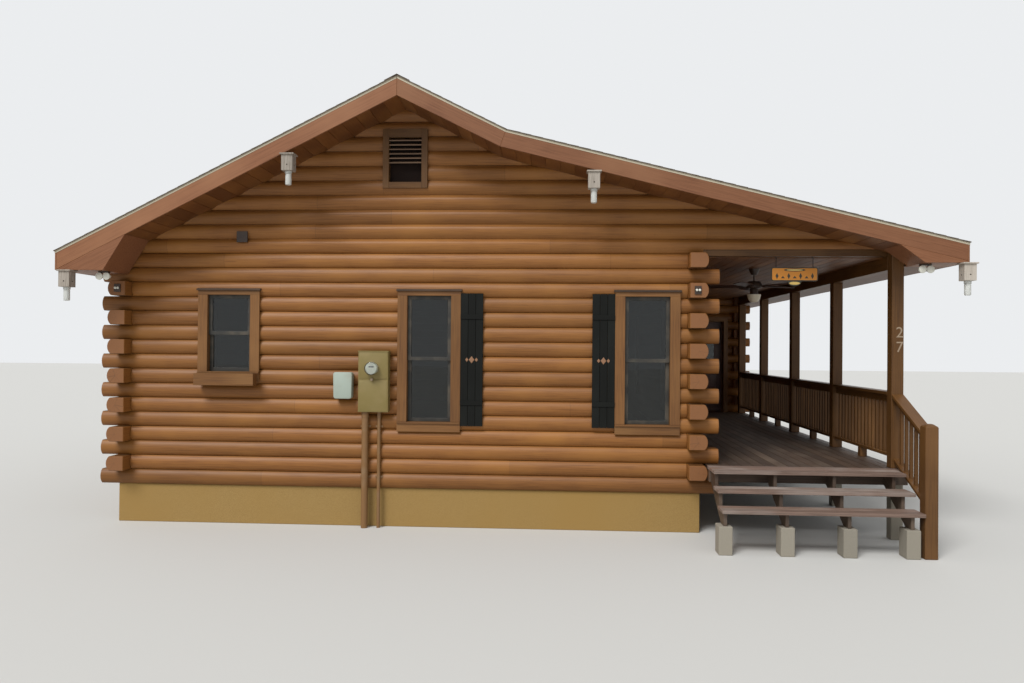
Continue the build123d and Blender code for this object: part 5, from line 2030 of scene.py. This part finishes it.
@dataclass
class Lamps:
    """Twin floodlights under the eave returns and small lamps on two log ends."""

    cabin: Cabin
    flood_least: float = 0.150
    plate_half: float = 0.060
    plate_front: float = 0.020
    plate_back: float = 0.010
    plate_depth: float = 0.020
    spread: float = 0.0455
    radius: float = 0.045
    neck: float = 0.012
    end_plate: float = 0.016
    ball: float = 0.0155
    ball_gap: float = 1.1
    ball_sides: int = 24
    edge: float = 0.002
    bulb_shape: tuple[tuple[float, float], ...] = (
        (0.42, 0.0), (0.48, 0.22), (0.94, 0.68), (1.0, 0.80), (0.96, 0.9), (0.7, 0.97),
    )
    ball_shape: tuple[tuple[float, float], ...] = ((0.6, 0.0), (1.0, 0.7), (0.85, 1.3), (0.0, 1.8))

    def flood(self, plates: BMesh, bulbs: BMesh, low: Vector, high: Vector) -> None:
        """Add a floodlight: its plate, and two bulbs on short necks that point to the front.

        Args:
            plates: Mesh that gets the plate and the necks.
            bulbs: Mesh that gets the bulbs.
            low: Lowest corner of the lamp.
            high: Highest corner of the lamp.
        """
        middle, height = (low.x + high.x) / 2, low.z + self.radius
        under = high.z - self.plate_depth
        add_block(plates, (middle - self.plate_half, low.y + self.plate_front, under),
                  (middle + self.plate_half, high.y - self.plate_back, high.z))
        radius, depth = self.radius, high.y - low.y
        for sign in (-1, 1):
            x = middle + sign * self.spread
            shape = [(radius * wide, depth * along) for wide, along in self.bulb_shape]
            add_turned(bulbs, ((0.0, 0.0), *shape, (0.0, depth)),
                       facing((x, high.y, height), (0, -1, 0)))
            spot = high.y - self.plate_back - self.neck
            add_rod(plates, (x, spot, height + self.neck), (x, spot, under), self.neck)

    def end_lamp(self, plates: BMesh, bulbs: BMesh, low: Vector, high: Vector) -> None:
        """Add a small lamp on a log end: its plate, and two round bulbs.

        Args:
            plates: Mesh that gets the plate.
            bulbs: Mesh that gets the bulbs.
            low: Lowest corner of the lamp.
            high: Highest corner of the lamp.
        """
        ball, face = self.ball, high.y - self.end_plate
        add_block(plates, (low.x, face, low.z), high)
        for sign in (-1, 1):
            x = (low.x + high.x) / 2 + sign * ball * self.ball_gap
            shape = [(ball * wide, ball * along) for wide, along in self.ball_shape]
            add_turned(bulbs, ((0.0, 0.0), *shape),
                       facing((x, face, (low.z + high.z) / 2), (0, -1, 0)), self.ball_sides)

    def build(self) -> None:
        """Deliver the lamps' plates and bulbs."""
        cabin = self.cabin
        plates, bulbs = bmesh.new(), bmesh.new()
        for low, high in cabin.spans("outdoor_lamps"):
            if high.x - low.x > self.flood_least:
                self.flood(plates, bulbs, low, high)
            else:
                self.end_lamp(plates, bulbs, low, high)
        soften(plates, self.edge)
        cabin.give("lamp_plates", plates, "bronze_enamel", "dark_metal",
                   replaces=["outdoor_lamps"])
        cabin.give("lamp_bulbs", bulbs, "lamp_bulb", "pale_plastic")


@dataclass
class Traps:
    """Weathered wooden insect traps with jars below."""

    cabin: Cabin
    hole: float = 0.008
    hole_inset: float = 0.002
    hole_depth: float = 0.0025
    box_side: float = 0.135
    dimple: float = 0.004
    rounding: float = 0.014
    jar_foot: tuple[float, float, float] = (0.7, 0.85, 0.9)
    jar_shape: tuple[tuple[float, float], ...] = (
        (0.9, 0.72), (0.8, 0.8), (1.0, 0.81), (1.0, 1.0),
    )
    edge: float = 0.002

    def build(self) -> None:
        """Deliver the traps' boxes, their entry holes as dark discs of painted shade, and their
        jars.
        """
        cabin = self.cabin
        holes, jars = bmesh.new(), bmesh.new()
        for low, high in cabin.spans("trap_jars"):
            radius, tall = (high.x - low.x) / 2, high.z - low.z
            middle = (low + high) / 2
            place = Matrix.Translation((middle.x, middle.y, low.z))
            rest, rim, side = [radius * share for share in self.jar_foot]
            shape = [(radius * wide, tall * along) for wide, along in self.jar_shape]
            add_turned(jars, (
                (0.0, self.dimple), (rest, 0.0), (rim, self.dimple), (side, self.rounding),
                *shape, (0.0, tall),
            ), place)
        half = self.box_side / 2
        # Each entry hole is a dark disc on a box face: painted shade of the hollow inside
        for low, high in cabin.spans("insect_traps"):
            middle = (low + high) / 2
            middle.z = low.z + half
            for way in ((1, 0, 0), (-1, 0, 0), (0, 1, 0), (0, -1, 0)):
                start = middle + Vector(way) * (half - self.hole_inset)
                add_rod(holes, start, start + Vector(way) * self.hole_depth, self.hole)
        cabin.softened("trap_boxes", "insect_traps", "weathered_cedar", "grey_wood", self.edge)
        cabin.give("trap_holes", holes, "dark_painted_shade", "dark_metal")
        cabin.give("trap_bottles", jars, "milky_jar", "jar_plastic", replaces=["trap_jars"])


@dataclass
class PorchFan:
    """Ceiling fan of the porch, with a light below."""

    cabin: Cabin
    canopy: float = 0.075
    canopy_height: float = 0.085
    rod: float = 0.010
    collar: float = 0.058
    motor: float = 0.110
    gap: float = 0.0003
    foot: float = 0.040
    blades: int = 5
    first_blade: float = math.radians(20)
    blade_root: float = 0.150
    blade_tip: float = 0.642
    blade_width: float = 0.125
    blade_depth: float = 0.008
    pitch: float = math.radians(12)
    corner: float = 0.035
    bracket: float = 0.018
    bracket_lap: float = 0.060
    bracket_low: float = 0.010
    bracket_high: float = 0.004
    canopy_round: float = 0.012
    canopy_bend: float = 0.045
    canopy_shape: tuple[float, float, float] = (0.97, 0.80, 0.5)
    collar_top: float = 0.88
    motor_shape: tuple[tuple[float, float], ...] = (
        (0.86, 0.0), (1.0, 0.12), (1.0, 0.6), (0.9, 0.78),
    )
    motor_top: float = 0.7
    bracket_start: float = 0.9
    bowl_shape: tuple[tuple[float, float], ...] = (
        (0.60, 0.11), (0.77, 0.29), (0.86, 0.46), (0.92, 0.66), (1.0, 1.0),
    )

    def blade(self) -> BMesh:
        """Make one blade that points along X, with rounded corners.

        Returns:
            The blade's mesh.
        """
        part = bmesh.new()
        half, deep = self.blade_width / 2, self.blade_depth / 2
        add_block(part, (self.blade_root, -half, -deep), (self.blade_tip, half, deep))
        round_corners(part, self.corner)
        return part

    def mount(self, axis: Matrix, low: float, motor_low: float) -> None:
        """Deliver the canopy, the rod and the collar that carries the light.

        Args:
            axis: Matrix of the fan's axis, at the frame's zero height.
            low: Height of the collar's foot.
            motor_low: Height of the motor's foot.
        """
        top, canopy, collar, rod = self.cabin.ceiling, self.canopy, self.collar, self.rod
        down = top - self.canopy_height
        stop = motor_low - self.gap
        wide, bend, foot = [canopy * share for share in self.canopy_shape]
        mesh = bmesh.new()
        add_turned(mesh, (
            (0.0, top), (canopy, top), (wide, top - self.canopy_round),
            (bend, top - self.canopy_bend), (foot, down), (rod, down), (rod, stop),
            (collar * self.collar_top, stop), (collar, stop - self.canopy_round),
            (collar, low), (0.0, low),
        ), axis)
        self.cabin.give("fan_canopy", mesh, "bronze_enamel", "dark_metal", replaces=["fan_mount"])

    def rotor(self, axis: Matrix, low: float, high: float) -> None:
        """Deliver the motor's housing and the blades on their brackets.

        Args:
            axis: Matrix of the fan's axis, at the frame's zero height.
            low: Height of the motor's foot.
            high: Height of the motor's top.
        """
        motor, blades = bmesh.new(), bmesh.new()
        wide, tall, bore = self.motor, high - low, self.rod + self.gap
        shape = [(wide * share, low + tall * rise) for share, rise in self.motor_shape]
        add_turned(motor, (
            (bore, low), *shape, (wide * self.motor_top, high), (bore, high), (bore, low),
        ), axis)
        for number in range(self.blades):
            turn = self.first_blade + number * math.tau / self.blades
            arm = axis @ Matrix.Translation((0, 0, low + tall / 3)) @ Matrix.Rotation(turn, 4, "Z")
            arm = arm @ Matrix.Rotation(self.pitch, 4, "X")
            add_block(motor, (wide * self.bracket_start, -self.bracket, -self.bracket_low),
                      (self.blade_root + self.bracket_lap, self.bracket, -self.bracket_high), arm)
            join(blades, self.blade(), arm)
        self.cabin.give("fan_motor", motor, "bronze_enamel", "dark_metal", "fan")
        self.cabin.give("fan_blades", blades, "fan_blade_varnish", "fan_blades", "fan",
                        ["fan_rotor"])

    def build(self) -> None:
        """Deliver the mount, the rotor and the light's bowl."""
        low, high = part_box("fan_light")
        rotor_low, rotor_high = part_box("fan_rotor")
        axis = Matrix.Translation(((low.x + high.x) / 2, (low.y + high.y) / 2, 0))
        self.mount(axis, high.z, rotor_low.z)
        self.rotor(axis, rotor_low.z, rotor_high.z)
        rim, deep = (high.x - low.x) / 2, high.z - low.z
        bowl = bmesh.new()
        curve = [(rim * radius, low.z + deep * height) for radius, height in self.bowl_shape]
        add_turned(bowl, ((0.0, low.z), (self.foot, low.z), *curve, (0.0, high.z)), axis)
        self.cabin.give("fan_bowl", bowl, "frosted_bowl", "bowl_glass", replaces=["fan_light"])


class Figure(Enum):
    """Plain figure painted on the sign, with the number of its sides."""

    WEDGE = 3
    DIAMOND = 4
    OVAL = 32


@dataclass
class HangingSign:
    """Sign that swings under the porch header, painted with plain shapes on both sides."""

    cabin: Cabin
    height: float = 0.170
    border: float = 0.012
    plate: float = 0.003
    paint: float = 0.001
    corner: float = 0.018
    edge: float = 0.002
    strap_edge: float = 0.0006
    hook_edge: float = 0.0005
    shapes: int = 7
    margin: float = 0.6
    diamond: tuple[float, float] = (0.036, 0.078)
    diamond_height: float = 0.062
    wedge: tuple[float, float] = (0.056, 0.040)
    wedge_height: float = 0.044
    badge: tuple[float, float] = (0.260, 0.036)
    badge_field: tuple[float, float] = (0.200, 0.018)
    badge_drop: float = 0.022
    tag: tuple[float, float] = (0.130, 0.036)
    tag_height: float = -0.026

    def shape(
        self, mesh: BMesh, place: Matrix, figure: Figure, centre: tuple[float, float],
        size: tuple[float, float], base: float,
    ) -> None:
        """Add a flat figure on the sign's face.

        Args:
            mesh: Mesh that gets the shape.
            place: Matrix of the sign's face, at the middle of its lower edge.
            figure: Which figure it is.
            centre: Its middle.
            size: Its width and height.
            base: How far off the face it lies.
        """
        verts = bmesh.ops.create_cone(
            mesh, cap_ends=True, segments=figure.value, radius1=0.5, radius2=0.5, depth=1.0,
            matrix=Matrix.Translation((0, 0, 0.5)),
        )["verts"]
        bmesh.ops.scale(mesh, vec=(*size, self.paint), verts=verts)
        bmesh.ops.translate(mesh, vec=(*centre, base), verts=verts)
        bmesh.ops.transform(mesh, matrix=place, verts=verts)

    def build(self) -> None:
        """Deliver the sign with its painted shapes, straps and hooks."""
        cabin = self.cabin
        cabin.softened("sign_board", "hanging_sign", "sign_dark", "sign_paint", self.edge, "sign")
        cabin.softened("sign_hangers", "sign_straps", "black_enamel", "dark_metal",
                       self.strap_edge, "sign")
        cabin.softened("sign_eyes", "sign_hooks", "black_enamel", "dark_metal", self.hook_edge)
        low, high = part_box("hanging_sign")
        half, tall = (high.x - low.x) / 2 - self.border, self.height
        orange, dark, cream = bmesh.new(), bmesh.new(), bmesh.new()
        for y, way in ((low.y, -1), (high.y, 1)):
            place = facing(((low.x + high.x) / 2, y, high.z - tall), (0, way, 0))
            add_panel(orange, (-half, self.border, 0), (half, tall - self.border, self.plate),
                      place, self.corner, self.paint)
            for number in range(self.shapes):
                across = (number - (self.shapes - 1) / 2) * 2 * half / (self.shapes + self.margin)
                if number % 2 == 0:
                    self.shape(dark, place, Figure.DIAMOND, (across, self.diamond_height),
                               self.diamond, self.plate)
                else:
                    self.shape(dark, place, Figure.WEDGE, (across, self.wedge_height),
                               self.wedge, self.plate)
            upper = tall - self.border - self.badge_drop
            self.shape(dark, place, Figure.OVAL, (0, upper), self.badge, self.plate)
            self.shape(cream, place, Figure.OVAL, (0, upper), self.badge_field,
                       self.plate + self.paint)
            self.shape(cream, place, Figure.OVAL, (0, self.tag_height), self.tag, 0)
        cabin.give("sign_panels", orange, "sign_orange", "sign_paint", "sign")
        cabin.give("sign_shapes", dark, "sign_dark", "sign_paint", "sign")
        cabin.give("sign_ovals", cream, "sign_cream", "sign_paint", "sign")


@dataclass
class Studio:
    """Pale floor, soft light and the camera at the photograph's place."""

    floor_size: float = 160.0
    camera_place: tuple[float, float, float] = (1.9322, -10.178, 2.2641)
    yaw: float = -0.0576
    pitch: float = 0.0072
    roll: float = 0.0082
    focal_pixels: float = 806.36
    frame_width: float = 1024.0
    sensor: float = 36.0
    clip_end: float = 500.0
    paper: str = "#C9C8C4"
    paper_roughness: float = 0.9
    sky: str = "#F4F6F8"
    sky_light: float = 0.62
    sky_seen: float = 0.92
    sun_power: float = 2.6
    sun_width: float = math.radians(25)
    sun_fall: float = math.radians(42)
    sun_turn: float = math.radians(-28)

    def floor(self) -> None:
        """Lay the floor, which isn't part of the cabin."""
        mesh = bmesh.new()
        bmesh.ops.create_grid(mesh, x_segments=1, y_segments=1, size=self.floor_size / 2)
        data = bpy.data.meshes.new("studio_floor")
        mesh.to_mesh(data)
        mesh.free()
        data.materials.append(Finish("studio_paper", self.paper, self.paper_roughness).build())
        floor = bpy.data.objects.new("studio_floor", data)
        bpy.context.scene.collection.objects.link(floor)

    def lights(self) -> None:
        """Light the cabin from a pale sky and one wide soft sun."""
        world = bpy.data.worlds.new("studio_sky")
        bpy.context.scene.world = world
        world.use_nodes = True
        tree = world.node_tree
        tree.nodes.clear()
        add = partial(add_node, tree)
        ray = add("LightPath")
        seen = ray.outputs["Is Camera Ray"]
        for other in ("Is Glossy Ray", "Is Transmission Ray"):
            seen = add("Math", {0: seen, 1: ray.outputs[other]}, operation="MAXIMUM")
        strength = add(
            "MapRange", {"Value": seen, "To Min": self.sky_light, "To Max": self.sky_seen}
        )
        sky = add("Background", {"Color": linear(self.sky), "Strength": strength})
        add("OutputWorld", {"Surface": sky})
        sun = bpy.data.lights.new("soft_sun", "SUN")
        sun.energy = self.sun_power
        sun.angle = self.sun_width
        lamp = bpy.data.objects.new("soft_sun", sun)
        lamp.rotation_euler = (self.sun_fall, 0, self.sun_turn)
        bpy.context.scene.collection.objects.link(lamp)

    def camera(self) -> None:
        """Set the camera at the photograph's place and angle."""
        data = bpy.data.cameras.new("view")
        data.sensor_width = self.sensor
        data.lens = self.focal_pixels * self.sensor / self.frame_width
        data.clip_end = self.clip_end
        camera = bpy.data.objects.new("view", data)
        level = Matrix.Rotation(-self.yaw, 4, "Z")
        raised = level @ Matrix.Rotation(math.pi / 2 + self.pitch, 4, "X")
        turn = raised @ Matrix.Rotation(self.roll, 4, "Z")
        camera.matrix_world = Matrix.Translation(self.camera_place) @ turn
        bpy.context.scene.collection.objects.link(camera)
        bpy.context.scene.camera = camera

    def build(self) -> None:
        """Set up the floor, the light and the camera."""
        self.floor()
        self.lights()
        self.camera()
        bpy.context.scene.view_settings.view_transform = "Standard"


def main() -> None:
    """Load the frame and build the cabin's pieces round it."""
    logging.basicConfig(level=logging.INFO, format="%(message)s")
    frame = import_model()
    Studio().build()
    cabin = Cabin(frame["nodes"])
    Finishes(cabin).build()
    for assembly in (LogShell, Ground, GableVents, Roof, Porch, Windows, Shutters, EntryDoor,
                     Services, Lamps, Traps, PorchFan, HangingSign):
        assembly(cabin).build()
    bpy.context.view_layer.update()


if __name__ == "__main__":
    main()
